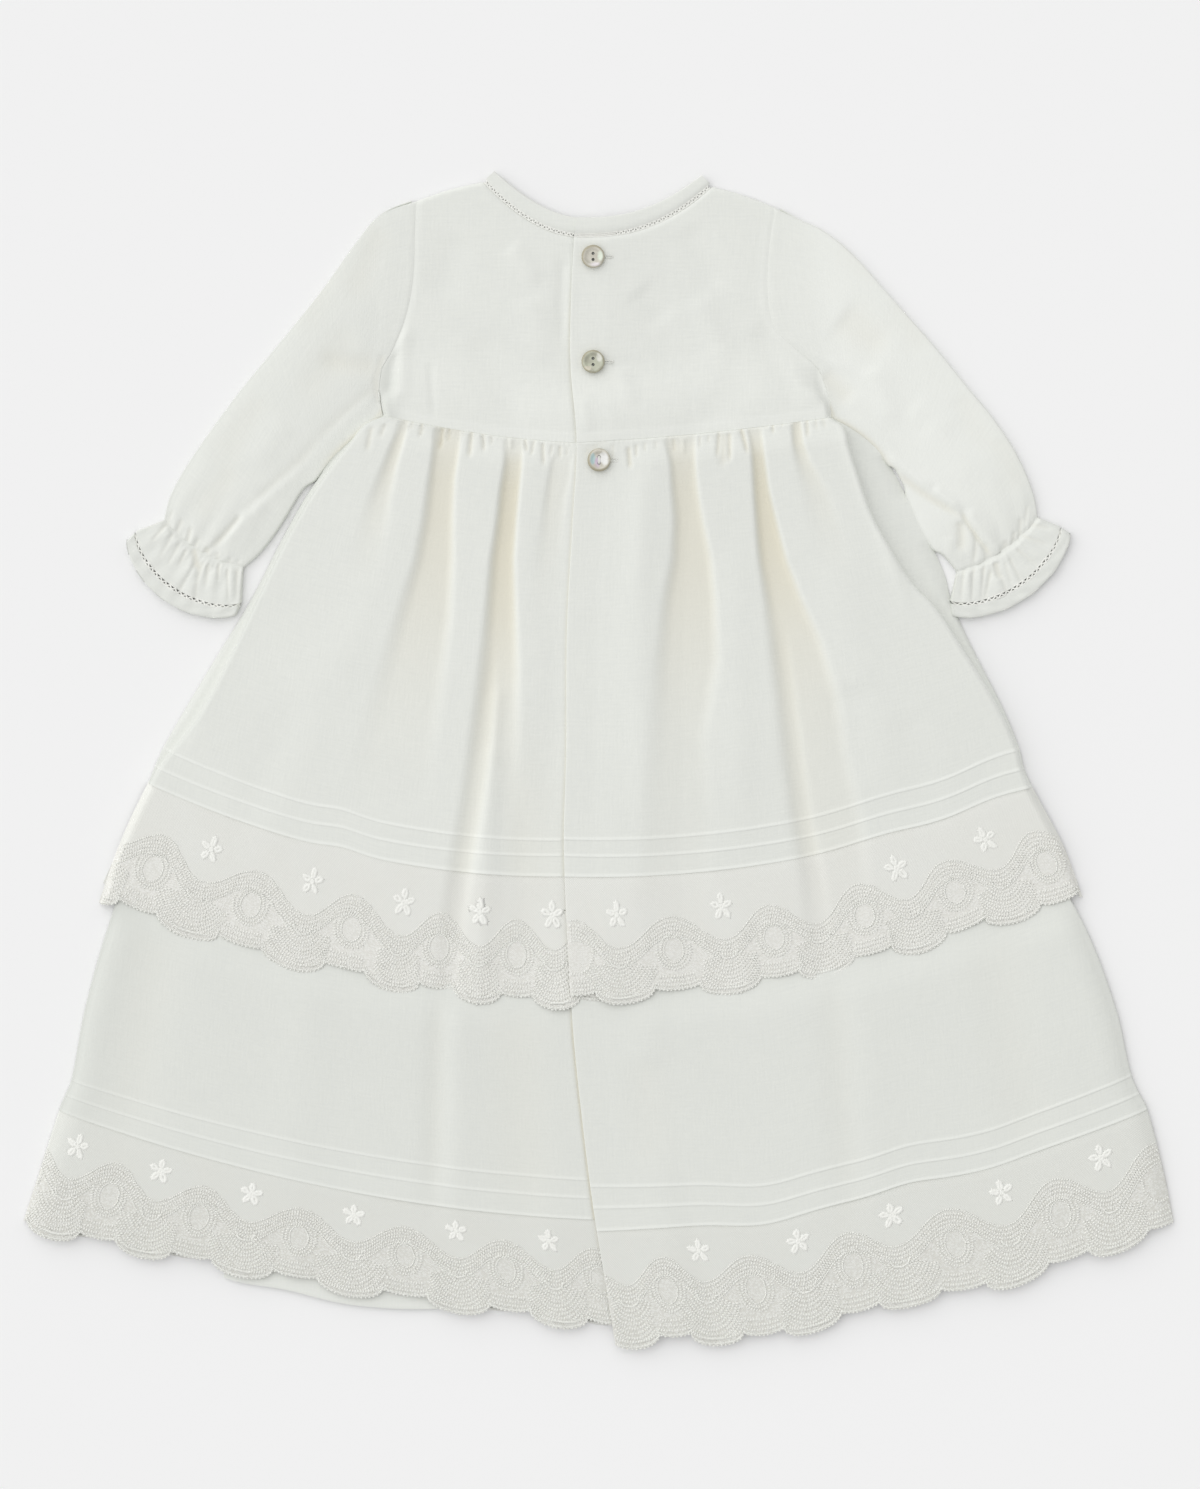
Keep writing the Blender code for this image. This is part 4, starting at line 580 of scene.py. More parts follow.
# smaller creases: a ridge or trough from (x, y) to (endX, endY), with its half width and its lift
underFolds = {
    "x": [-82, -72, -40, -228, -150, 122, 138, 22, 205],
    "y": [-112, -110, -120, -85, -95, -112, -112, -158, -90],
    "endX": [-86, -74, -36, -250, -160, 132, 146, 24, 226],
    "endY": [-236, -245, -245, -205, -232, -240, -240, -216, -210],
    "width": [6, 9, 17, 14, 15, 9, 12, 13, 15],
    "lift": [-1.1, 0.6, -1.4, -1.0, 0.6, -0.8, 0.3, -0.9, -0.8],
}
waistGathers = {
    "x": [-118, -111, -96.5, -91.5, -81, -77.5, -70, -66, -60, -55.5, -45.5, -38.5, -33.5,
          -29, -24, -20, -16.5, -6.5, -1.5, 7, 15.5, 19.5, 24, 29.5, 39, 44, 52.5, 57, 62.5,
          68, 65, 74, 86.5, 90.5, 95.5, 108, 112.5, 116.5],
    "y": [172.5, 174.5, 177.5, 176, 172.5, 173, 171.5, 171, 169.5, 168.5, 168.5, 166.5, 166,
          164.5, 163.5, 163, 162, 163.5, 163.5, 163.5, 162, 163.5, 164.5, 165.5, 166.5, 167,
          168, 168.5, 170, 169.5, 169.5, 172.5, 176.5, 177.5, 177.5, 177.5, 178, 178],
    "endX": [-120, -113, -97.5, -92.5, -82.5, -78, -70.5, -67, -59.5, -55.5, -45.5, -37,
             -35, -28.5, -25, -20, -16.5, -6, -1.5, 7.5, 16.5, 19.5, 24, 30, 39.5, 44, 52.5,
             57, 61.5, 68, 64.5, 77.5, 86.5, 90.5, 95.5, 108.5, 113, 117.5],
    "endY": [160, 167.5, 171.5, 167.5, 161, 165.5, 167.5, 157, 160, 163.5, 161, 160, 158,
             153, 158, 157, 158, 158, 161, 156, 151, 157, 160, 161, 160, 159, 162, 164.5,
             157, 155, 152, 159, 171.5, 169.5, 173, 167.5, 171.5, 172.5],
    "width": [1.2, 0.9, 0.7, 0.9, 1.0, 0.8, 0.7, 1.2, 0.9, 0.7, 0.9, 0.9, 0.8, 0.9, 0.7,
              0.8, 0.6, 0.8, 0.8, 0.8, 1.1, 0.8, 0.7, 0.7, 0.9, 0.9, 0.7, 0.7, 0.9, 1.0,
              2.2, 1.1, 0.7, 0.8, 0.7, 0.9, 0.7, 0.8],
    "lift": [-0.8, -0.7, -0.7, -1.0, -1.3, -0.9, -0.6, -1.3, -1.1, -0.6, 0.9, -1.1, -0.9,
             -1.1, -0.6, -0.8, -0.5, -0.6, -0.5, -0.6, -1.4, -0.9, -0.6, -0.5, -0.7, 0.8,
             -0.6, -0.5, -1.1, -1.3, -0.8, -1.6, -0.6, -1.1, -0.5, -1.1, -0.6, -0.6],
}
skirtRidges = {
    "x": [-52, -55, -58.5, -134.5, -103.5, 0.5, 71, 120.5, 128, 21.5, 130.5, 159.5,
          -155.5, -27.5, 11, -181.5, -199.5, -30.5],
    "y": [36.5, 5, -47, 62.5, 125, 104, 104, 104, 166.5, 145.5, 36.5, 21, 31, 31, 31,
          88.5, 57, 62.5],
    "endX": [-55.5, -59.5, -62.5, -181.5, -139.5, 4, 73.5, 146.5, 159.5, 19.5, 135,
             175, -186.5, -24, 15.5, -212.5, -220.5, -26.5],
    "endY": [0, -52, -117, -52, 31, -52, -47, 0, 83, 83, -10.5, -36.5, -41.5, -31,
             -62.5, 21, 0, 0],
    "width": [3.6, 5.5, 6.5, 16, 12, 8, 9, 12, 3.4, 5, 12, 11, 10, 7, 8, 8, 4, 6],
    "lift": [0.9, 1.3, 1.2, 0.5, 0.5, 0.35, 0.6, 0.5, 0.9, 0.4, -0.8, -0.5, -0.5, -0.5,
             -0.5, 0.5, -0.6, 0.4],
}


def sunkLift(x, y):
    total = np.zeros(np.broadcast(x, y).shape)
    for fold in sunkFolds:
        rising = -np.array(fold["y"], float)
        left, right, depth, soft = (np.interp(-y, rising, fold[key])
                                    for key in ("left", "right", "depth", "soft"))
        leftEdge = ease((x - left - 1.2) / (2.2 * soft) + 0.5)
        rightEdge = ease((right + 2.0 - x) / (1.5 * soft) + 0.5)
        total -= 0.85 * depth * leftEdge * rightEdge
    return total


def lineAt(panel, down, column):
    return curve(panel["lines"], "down", down, column)


def saggedLine(sideY, openingY, sag, t):
    # y along a cross line, from its side (t = 0) to the opening (t = 1)
    return mix(sideY, openingY, t) - sag * 4.0 * t * (1.0 - t)


def lineY(panel, down, t):
    return saggedLine(*(lineAt(panel, down, key) for key in ("sideY", "openingY", "sag")), t)


def border(panel, down):
    return lineAt(panel, down, "strip") if "strip" in panel["lines"] else np.zeros(np.shape(down))


def sideAndCentre(panel, down):
    return lineAt(panel, down, "sideX"), openingX(lineAt(panel, down, "openingY"))


def columnX(panel, down, zone, amount):
    # zone 0: share of the border, 1: mm past the border, 2: share of the width, 3: mm from the opening
    sideX, centreX = sideAndCentre(panel, down)
    toward, strip = panel["toward"], border(panel, down)
    near = sideX + toward * (strip + wall["rim"])
    far = centreX - toward * panel["inner"]
    return np.select([zone == 0, zone == 1, zone == 2],
                     [sideX + toward * strip * amount, sideX + toward * (strip + amount),
                      mix(near, far, amount)], centreX - toward * amount)


def spot(panel, down, x):
    # y on the cross line at x, then the distances in from the border, the opening and the side
    sideX, centreX = sideAndCentre(panel, down)
    toward = panel["toward"]
    y = lineY(panel, down, (x - sideX) / (centreX - sideX))
    waves = panel.get("waves", {"x": []})
    for k, middle in enumerate(waves["x"]):
        y = y + waves["up"][k] * np.exp(-((x - middle) / waves["width"][k]) ** 2) * ease((down - 0.45) / 0.25)
    return y, toward * (x - sideX) - border(panel, down), toward * (centreX - x), toward * (x - sideX)


def overLap(fromOpening, ramp):
    # 1 where the right back lies on the left one, falling to 0 at the end of its ramp
    return 1.0 - clamp((fromOpening - lap["clear"]) / (ramp - lap["clear"]))


def calm(left, inside, fromOpening, sideWidth):
    # the share of the folds' height that is left near a panel's edges
    byOpening = ease((fromOpening - 14.0) / 28.0)
    if left:  # nearly level with the edge that lies on it
        byOpening = mix(0.28, 1.0, ease(fromOpening / 30.0)) * ease((fromOpening + 4.5) / 3.5)
    return ease(inside / sideWidth) * byOpening


def overBase(left, inside, fromOpening):
    height = mix(wall["ply"], 3 * wall["ply"], ease(inside / 2.2))
    if left:
        return height + wall["ply"] * (1.0 - clamp((fromOpening - 2.5) / (lap["leftRamp"] - 2.5)))
    return height + 2 * wall["ply"] * overLap(fromOpening, lap["overRamp"])


def groove(left, fromOpening):
    # the left back dips along the edge that lies on it
    return np.exp(-((fromOpening - 0.2) / 1.0) ** 2) if left else 0.0 * fromOpening


def overHeight(panel, down, x, y, inside, fromOpening):
    left = panel["toward"] > 0
    below = down * panel["length"]
    plateau = mix(1.2, 3.7, ease(below / 15.0)) * mix(1.0, 0.62, ease((below - 150.0) / 90.0))
    plateau = plateau * mix(1.0, 0.12, ease((below - 215.0) / 72.0))
    folds = sunkLift(x, y) * mix(1.0, 0.5, ease((below - 215.0) / 72.0))
    quiet = calm(left, inside, fromOpening, 1.5 if left else 2.2)
    raised = (softFloor(plateau + folds + creaseLift(skirtRidges, x, y) + 0.6) - 0.6) * quiet
    edges = ease(inside / 3.0) * ease((fromOpening - 0.5) / 3.0)
    fine = 0.2 * np.sin(x * 2.7 + 1.3 * np.sin(x / 4.1)) * np.exp(-(below / 2.2) ** 2)
    heads = 0.9 * (creaseLift(waistGathers, x, y) + fine) * edges
    line = groove(left, fromOpening) * ease(below / 12.0)
    # painted shade, cream: in the bottoms of the deep folds, along the opening's groove and between the
    # gather heads at the waist
    creamTintAndFoldShade = mix(1.0, 0.55, ease((below - 60.0) / 110.0)) * quiet
    deep = clamp(-folds / 4.4) * creamTintAndFoldShade + 0.35 * line + 0.6 * clamp(-heads / 1.4)
    return overBase(left, inside, fromOpening) + raised + heads - 0.12 * line, deep


def hemLine(x):
    # y of the overskirt's lowest lace edge at x
    y = 0.0
    onLeft = x < openingX(scallop["partY"])
    for panel, part in ((panels["overLeft"], onLeft), (panels["overRight"], ~onLeft)):
        sideX, centreX = sideAndCentre(panel, 1.0)
        t = clamp((x - sideX) / (centreX - sideX))
        y = y + np.where(part, lineY(panel, 1.0, t) - scallop["deep"], 0.0)
    return y


def underHeight(panel, down, x, y, inside, fromOpening):
    left = panel["toward"] > 0
    shown = ease((hemLine(x) + 8.0 - y) / 22.0)
    folds = creaseLift(underFolds, x, y)
    base = 2 * wall["ply"] - wall["ply"] * shown * (1.0 - clamp(inside / wall["rim"]))
    if not left:
        base = base + wall["ply"] * overLap(fromOpening, lap["underRamp"])
    quiet = calm(left, inside, fromOpening, 12.0) * shown
    height = 1.9 * mix(1.0, 0.6, ease((down - 0.8) / 0.2)) + folds
    line = groove(left, fromOpening) * shown
    # the second value is painted shade in the folds and along the opening's groove
    return base + softFloor(height) * quiet - 0.3 * line, clamp(-folds / 14.0) * quiet + 0.8 * line


def heightAt(panel, down, x, y, inside, fromOpening):
    shape = overHeight if panel["over"] else underHeight
    return shape(panel, down, x, y, inside, fromOpening)


def tuckLift(panel, down, fromOpening):
    # a pintuck swells to its folded edge, drops off below it, and is double cloth
    total = np.zeros(np.broadcast(down, fromOpening).shape)
    for line in panel["tucks"]:
        below = (down - line) * panel["length"]
        total = total + ease((below + 1.7) / 1.2) * (1.0 - ease((below - 0.15) / 0.4))
    return total * clamp(fromOpening / 2.5) if panel["toward"] > 0 else total


def sleeveTouch(left, y, short=0.0):
    # 1 where a sleeve's inner edge lies under the side of the skirt
    if left:
        return ease((y - 141.0 - short) / 7.0)
    high = ease((y - 151.0 - short) / 5.0) * ease((183.0 - y) / 4.0)
    return high + ease((y - 106.0 - short) / 6.0) * ease((143.0 - short - y) / 6.0)


def netTop(panel):
    return panel["tucks"][-1] + 0.25 / panel["length"]


def skirtRows(panel, start, step):
    # cross lines down a panel, closer together in the gathers and at the pintucks
    length = panel["length"]
    rows = [] if start else [0.0, 0.25 / length, 0.5 / length, 0.9 / length, 1.4 / length]
    at = start or 2.0 / length
    while at < netTop(panel):
        rows.append(at)
        at += (0.95 if at * length < 26.0 else step) / length
    for line in panel["tucks"]:
        rows = [row for row in rows if not -2.6 < (row - line) * length < 1.3]
        rows += [line + off / length for off in (-2.2, -1.7, -1.3, -0.9, -0.5, -0.1, 0.15, 0.35, 0.55, 1.0)]
    return sorted(row for row in rows if row < netTop(panel) - 0.05 / length) + [netTop(panel)]


def openingColumns(left, inner):
    # mm from the opening, from the last even column on; the left back runs on under the right one
    if left:
        beyond = [6.5, 5.2, 4.1, 3.2, 2.5, 1.9, 1.4, 1.0, 0.6, 0.2, -0.3, -1.0, -3.0, -6.5, -10.5, -14.5]
        return [amount for amount in (*beyond, -lap["width"]) if amount < inner - 0.2]
    return [inner * (1 - k / 10) for k in range(1, 10)] + [0.5, 0.15, 0.0]


def backColumns(panel, shares):
    zones = [(0, k / 4) for k in range(4)] if "strip" in panel["lines"] else []
    zones += [(1, amount) for amount in (0.0, 0.25, 0.6, 1.1, 1.7, 2.6, 3.8)]
    zones += [(2, k / shares) for k in range(shares + 1)]
    zones += [(3, amount) for amount in openingColumns(panel["toward"] > 0, panel["inner"])]
    return (np.array(part, float)[None, :] for part in zip(*zones))


def sideShade(distance, most=0.5):
    # painted shade right at a turned edge; on edges that face the light it tones down their highlight
    return most * (1.0 - ease((distance - 0.4) / 1.5))


def openingEdge(height, panel, fromOpening):
    # the right back ends in a soft folded edge
    if panel["toward"] > 0:
        return height
    return height - 0.2 * (1.0 - clamp(fromOpening / 0.35)) ** 2


def skirtBack(name, panel, rows, shares, node):
    left, over = panel["toward"] > 0, panel["over"]
    zone, amount = backColumns(panel, shares)
    down = np.array(rows)[:, None]
    x = columnX(panel, down, zone, amount)
    y, inside, fromOpening, fromSide = spot(panel, down, x)
    z, deep = heightAt(panel, down, x, y, inside, fromOpening)
    doubledAndPaintedLight = tuckLift(panel, down, fromOpening)
    z = z + tuckRise * doubledAndPaintedLight + wall["solid"]
    z = z + rumple(x, y) * ease(inside / 20.0) * ease((fromOpening - 20.0) / 30.0)
    # this mark: the underskirt greyer all over, being single cloth partly in shade; the overskirt a little
    # greyer low down and over its right back
    thinClothAndPaintedShade = 0.25 * (not over)
    if over:  # gathered into the waist seam, just under the bodice
        seam = 1.0 - ease(down * panel["length"] / 1.2)
        z = mix(z, overBase(left, inside, fromOpening) + 1.06, seam) - 0.22 * (down == 0.0)
        y = y + 0.9 * (down == 0.0)
        thinClothAndPaintedShade = 0.07 * ease((down - 0.4) / 0.4) + 0.08 * (not left) * ease((inside + 1.0) / 2.0)
    if left:
        # painted shade along the left edges and their ramps, which face the light, and over the underskirt's
        # left side
        thinClothAndPaintedShade = thinClothAndPaintedShade + sideShade(fromSide, 0.6) + 0.6 * np.exp(-((inside - 1.2) / 1.4) ** 2) * over
        thinClothAndPaintedShade = thinClothAndPaintedShade + 0.4 * (1.0 - ease(fromSide / 24.0)) * (not over)
    elif over:
        # painted light on the right back's ramp down to its strip, which faces away from the light, and
        # painted shade on the strip
        doubledAndPaintedLight = doubledAndPaintedLight + np.exp(-((inside - 1.3) / 1.3) ** 2)
        thinClothAndPaintedShade = thinClothAndPaintedShade + 0.16 * (1.0 - ease((inside + 0.5) / 1.0))
    foot = mix(0.55, 3.1, sleeveTouch(left, y, 4.0))
    z = openingEdge(rolled(z, fromSide, foot, 0.9), panel, fromOpening)
    u = x * 0.6 + columnX(panel, np.array([[1.0]]), zone, amount) * 0.4
    made = clothPiece(name, (x, y, z), (u, down * panel["length"]), node,
                      marks={"deep": deep, "doubledAndPaintedLight": doubledAndPaintedLight, "thinClothAndPaintedShade": thinClothAndPaintedShade})


lace = {
    "flower": {"up": 42.0, "petals": 5, "reach": 3.6, "long": 1.9, "wide": 0.8},
    "wave": {"trough": 27.0, "crest": 39.5, "rows": 6, "apart": 1.85},
    "eye": {"up": 22.6, "rings": ((5.2, 6.9, "cord"), (7.0, 8.7, "dash"), (9.0, 10.6, "dash"))},
    "fan": {"up": 23.0, "rows": (5.4, 7.3, 9.2, 11.1, 13.0, 14.9, 16.8, 18.7, 20.6, 22.4), "spread": 64.0},
    "cord": {"spacing": 1.25, "length": 2.1, "width": 0.98, "height": 0.86, "turn": 0.35, "seed": 3},
    "dash": {"spacing": 1.4, "length": 2.4, "width": 0.94, "height": 0.86, "turn": 1.5708, "seed": 5},
    "satin": {"spacing": 0.85, "length": 2.2, "width": 1.0, "height": 0.7, "turn": 1.5708, "seed": 7},
    "petal": {"spacing": 0.75, "length": 4.2, "width": 2.5, "height": 0.42, "turn": 1.5708, "seed": 8,
              "sunk": 0.12},
    "picot": {"spacing": 2.1, "length": 1.4, "width": 1.25, "height": 0.9, "turn": 0.0, "seed": 11},
    "net": 0.35,
}


def lobePhase(lobes, x):
    # how far x is from one large lobe's middle to the next, and how far apart those two are
    lobes = np.array(lobes)
    k = np.clip(np.searchsorted(lobes, x, side="right") - 1, 0, len(lobes) - 2)
    return (x - lobes[k]) / (lobes[k + 1] - lobes[k]), lobes[k + 1] - lobes[k]


def lobeDrop(lobes, x):
    phase, _ = lobePhase(lobes, x)
    phase = np.abs(phase - np.round(phase))
    half = scallop["share"] / 2.0
    deepLobe = scallop["deep"] * np.sqrt(np.maximum(1.0 - (phase / half) ** 2, 0.0))
    smallLobe = scallop["small"] * np.sqrt(np.maximum(1.0 - ((0.5 - phase) / (0.5 - half)) ** 2, 0.0))
    return np.where(phase < half, deepLobe, smallLobe)


def laceSurface(panel, hemX, up):
    # hemX: x at the scalloped edge; up: mm above that edge
    toward, length = panel["toward"], panel["length"]
    down = 1.0 - np.asarray(up) * panel["stretch"] / length
    row = clamp((down - panel["hem"]) / (1.0 - panel["hem"]))
    under = 0.25 * ease((netTop(panel) - down) * length / 2.0 + 1.5)  # its top runs under the last tuck
    sideX, centreX = sideAndCentre(panel, down)
    hemSide, hemCentre = sideAndCentre(panel, 1.0)
    reach = wall["rim"] + border(panel, 1.0)
    hemNear, hemFar = hemSide + toward * reach, hemCentre - toward * panel["inner"]
    near, far = sideX + toward * (wall["rim"] + border(panel, down)), centreX - toward * panel["inner"]
    share = (hemX - hemNear) / (hemFar - hemNear)
    beyond = [near + (hemX - hemNear), far + (hemX - hemFar)]
    x = np.select([share < 0, share > 1], beyond, mix(near, far, share))
    y, inside, fromOpening, fromSide = spot(panel, down, x)
    z, deep = heightAt(panel, down, x, y, inside, fromOpening)
    ripple = 0.25 * np.sin(hemX / 5.2 + 1.3 * np.sin(hemX / 13))
    z = z + wall["solid"] - under - (1.15 if panel["over"] else 1.0) * row ** 2 + ripple * row ** 2
    z = openingEdge(rolled(z, fromSide, 1.6 if panel["over"] else 0.55), panel, fromOpening)
    y = y - lobeDrop(panel["lobes"], hemX) * row * row
    return x, y, z, deep


def waveTop(rise):
    return mix(lace["wave"]["trough"], lace["wave"]["crest"], rise)


def denseShare(lobes, x, up):
    # 1 where the embroidery covers the net: from the wave down to the edge, but not inside the eyes
    phase, apart = lobePhase(lobes, x)
    below = waveTop(0.5 - 0.5 * np.cos(2 * math.pi * phase)) - up
    eye = ((phase - 0.5) * apart / 5.0) ** 2 + ((up - lace["eye"]["up"]) / 6.6) ** 2
    return clamp(below / 2.4 + 0.5) * mix(0.8, 1.0, clamp((eye - 0.6) / 0.6))


def motifPaths(centre, after, plain=False, flower=True):
    # one repeat: from a large lobe's middle to the next one's, as (style, hemX list, up list, closed)
    width = after - centre
    paths = []

    def across(style, start, end, count, up):
        paths.append((style, centre + width * np.linspace(start, end, count), up + np.zeros(count), False))

    wave = lace["wave"]
    rise = 0.5 - 0.5 * np.cos(2 * math.pi * np.linspace(0.0, 1.0, 29))
    for row in range(wave["rows"]):
        style = "cord" if row in (0, wave["rows"] - 1) else "dash"
        across(style, 0.0, 1.0, 29, waveTop(rise) - row * wave["apart"])
    across("satin", 0.0, 1.0, 41, 0.8)
    if plain:
        return paths
    across("picot", 0.0, 1.0, 41, -0.4)
    across("dash", 0.0, 1.0, 41, 2.9)
    for up in (5.3, 7.8):
        across("dash", 0.34, 0.66, 9, up)
    turn = np.linspace(0, 2 * math.pi, 25)[:-1]
    for wide, tall, style in lace["eye"]["rings"]:
        swept = turn if tall < 10 else np.linspace(math.pi * 0.92, math.pi * 2.08, 15)
        paths.append((style, centre + width / 2 + wide * np.cos(swept),
                      lace["eye"]["up"] + tall * np.sin(swept), tall < 10))
    fan = lace["fan"]
    for radius in fan["rows"]:
        most = math.radians(fan["spread"])
        if radius > 12:
            most = min(most, math.asin(min((width / 2 - 10.2) / radius, 0.95)))
        angle = np.linspace(-most, most, 13)
        up = np.maximum(fan["up"] - radius * np.cos(angle), 3.0)
        paths.append(("dash", centre + radius * np.sin(angle), up, False))
    angle = np.radians(np.linspace(-80, 80, 11))
    paths.append(("cord", centre + 5.4 * np.sin(angle), fan["up"] - 5.4 * np.cos(angle), False))
    if not flower:
        return paths
    bloom = lace["flower"]
    petal = np.linspace(0, 2 * math.pi, 13)[:-1]
    for k in range(bloom["petals"]):
        lean = math.radians(90 + 360 * k / bloom["petals"])
        out, side = bloom["reach"] + bloom["long"] * np.cos(petal), bloom["wide"] * np.sin(petal)
        paths.append(("petal", centre + out * math.cos(lean) - side * math.sin(lean),
                      bloom["up"] + out * math.sin(lean) + side * math.cos(lean), True))
    paths.append(("petal", centre + 0.8 * np.cos(petal), bloom["up"] + 0.8 * np.sin(petal), True))
    return paths


def embroider(name, paths):
    styles = {}
    for style, places, lift, closed in paths:
        styles.setdefault(style, []).append((places, lift, closed))
    sewn = [sewStitches(styles[style], lace[style]) for style in styles]
    return threadPiece(name + "Embroidery", sewn)


def laceEdging(name, panel, node):
    hemSide, hemCentre = (float(value) for value in sideAndCentre(panel, 1.0))
    left = panel["toward"] > 0
    end = hemCentre + lap["width"] if left else hemCentre
    height = ((1.0 - netTop(panel)) * panel["length"] + 1.2) / panel["stretch"]
    low, high = min(hemSide, end), max(hemSide, end)
    inner = np.linspace(low + 2.2, high - 0.8, round((high - low) / 1.75))
    if left:
        columns = np.concatenate([[low, low + 0.3, low + 0.8, low + 1.4], inner, [high - 0.4, high]])[None, :]
    else:
        last = high - np.array([1.4, 0.8, 0.3, 0.0])
        columns = np.concatenate([[low, low + 0.4], inner - 1.4, last])[None, :]
    ups = np.concatenate([np.linspace(height, 8.0, 34), np.linspace(6.7, 0.0, 7)])[:, None]
    x, y, z, deep = laceSurface(panel, columns, ups)
    lobes = panel["lobes"]
    net = clothPiece(name, (x, y, z), (columns, ups), node, "net" if panel["over"] else "lowerNet",
                     {"deep": deep, "dense": denseShare(lobes, columns, ups)}, lace["net"])
    paths = []
    for centre, after in zip(lobes, lobes[1:]):
        for style, hemX, up, closed in motifPaths(centre, after, flower=centre != panel.get("noFlower")):
            inside = (hemX > low + 0.8) & (hemX < high - 0.6)
            if closed and not inside.all():
                continue
            hemX, up = hemX[inside], up[inside]
            if len(hemX) < 2:
                continue
            px, py, pz, _ = laceSurface(panel, hemX, up)
            ax, ay, az, _ = laceSurface(panel, hemX + 0.5, up)
            bx, by, bz, _ = laceSurface(panel, hemX, up + 0.5)
            lift = np.cross(grid(ax - px, ay - py, az - pz), grid(bx - px, by - py, bz - pz))
            lift /= np.linalg.norm(lift, axis=-1, keepdims=True)
            wander = 0.22 * np.sin(hemX * 2.1 + up * 1.7)
            pz = pz + 0.05 - lace[style].get("sunk", 0.0)
            paths.append((style, grid(px + wander, py + wander, pz), lift, closed))
    thread = embroider(name, paths)


for side in ("Left", "Right"):
    small = side.lower()
    over, under = panels["over" + side], panels["under" + side]
    underRows = [0.0, 0.03, 0.08, 0.15, 0.22, 0.3, 0.38, 0.44, 0.48] + skirtRows(under, 0.5, 2.8)
    skirtBack("overskirtBack" + side, over, skirtRows(over, 0.0, 2.4), 124,
              "overskirt_back_" + small)
    skirtBack("underskirtBack" + side, under, underRows, 84,
              "underskirt_back_" + small)
    laceEdging("overskirtLaceBack" + side, over, "overskirt_lace_back_" + small)
    laceEdging("underskirtLaceBack" + side, under, "underskirt_lace_back_" + small)
print("back skirts and their lace ready")


def frontSpot(layer, down, share):
    # a point of a front skirt, on the cross lines of both back panels joined into one
    left, right = panels[layer + "Left"], panels[layer + "Right"]
    leftX, rightX = lineAt(left, down, "sideX"), lineAt(right, down, "sideX")
    x = mix(leftX, rightX, share)
    middleY = lineAt(left, down, "openingY")
    turn = openingX(middleY)
    y = 0.0
    for panel, edge, part in ((left, leftX, x < turn), (right, rightX, x >= turn)):
        sideY, sag = lineAt(panel, down, "sideY"), lineAt(panel, down, "sag")
        line = saggedLine(sideY, middleY, sag, (x - edge) / (turn - edge))
        y = y + np.where(part, line, 0.0)
    return x, y


def flatCreases(x, y):
    return 0.3 * clamp(0.5 + 4.0 * rumple(x, y)) + 0.15 * clamp(creaseLift(skirtRidges, x * 0.9, y - 20.0))


def frontSkirt(layer, rows, columns, heightOf):
    left, right = panels[layer + "Left"], panels[layer + "Right"]
    down, share = np.array(rows)[:, None], np.linspace(0.0, 1.0, columns)[None, :]
    width = lineAt(right, down, "sideX") - lineAt(left, down, "sideX")
    share = mix(1.3 / width, 1.0 - 1.3 / width, share)  # just inside the back panels' turned edges
    x, y = frontSpot(layer, down, share)
    z = heightOf(x, y) + flatCreases(x, y)
    made = clothPiece(layer + "skirtFront", (x, y, z), (x, down * left["length"]), layer + "skirt_front")


def frontEdging(layer, repeats):
    top, length = panels[layer + "Left"]["hem"], panels[layer + "Left"]["length"]
    share = np.linspace(0.004, 0.996, 24 * repeats)[None, :]
    row = np.linspace(0.0, 1.0, 22)[:, None]

    def place(share, row):
        x, y = frontSpot(layer, mix(top, 1.0, row), share)
        phase = (share * repeats) % 1.0
        drop = scallop["deep"] * np.sqrt(np.maximum(1.0 - ((phase - 0.5) / 0.3) ** 2, 0.0))
        return x, y + (4.0 - drop) * row, 0.5 + flatCreases(x, y) * (1.0 - row)

    name = layer + "skirtLaceFront"
    x, y, z = place(share, row)
    net = clothPiece(name, (x, y, z), (x, row * (1.0 - top) * length), layer + "skirt_lace_front",
                     "net", thickness=lace["net"])
    paths = []
    for k in range(repeats):
        for style, hemX, up, closed in motifPaths(k + 0.5, k + 1.5, plain=True):
            at = hemX / repeats
            inside = (at > 0.006) & (at < 0.994)
            if inside.sum() < 2:
                continue
            px, py, pz = place(at[inside], 1.0 - up[inside] / ((1.0 - top) * length))
            paths.append((style, grid(px, py, pz + 0.05), straightUp, closed))
    thread = embroider(name, paths)


frontSkirt("over", np.linspace(0.0, 0.782, 60), 90, lambda x, y: 0.5)
frontSkirt("under", np.concatenate([np.linspace(0.0, 0.56, 20), np.linspace(0.57, 0.884, 44)]), 96,
           lambda x, y: mix(2.1, 0.5, ease((hemLine(x) + 1.0 - y) / 16.0)))
frontEdging("over", 9)
frontEdging("under", 11)


# only the strip of its hem that hangs below the lace
liningStrip = {
    "x": [-195, -186.5, -163, -135, -110, -87, -66],
    "lowY": [-269.4, -272, -275.8, -282.6, -285.4, -285.8, -285],
    "topY": [-247, -247, -250, -256, -262, -265, -268],
}


def liningHem():
    across = np.linspace(-195.0, -66.0, 70)[None, :]
    row = np.array([0.0, 0.5, 0.78, 0.84, 0.88, 0.94, 0.98, 1.0])[:, None]
    y = mix(curve(liningStrip, "x", across, "topY"), curve(liningStrip, "x", across, "lowY"), row)
    z = wall["ply"] + 0.7 + 0.25 * ease((row - 0.8) / 0.06) - 0.3 * clamp((row - 0.97) / 0.03)
    made = clothPiece("liningHem", (across, y, z), (across, y), "lining_hem", "lining")


liningHem()
print("front skirts ready")


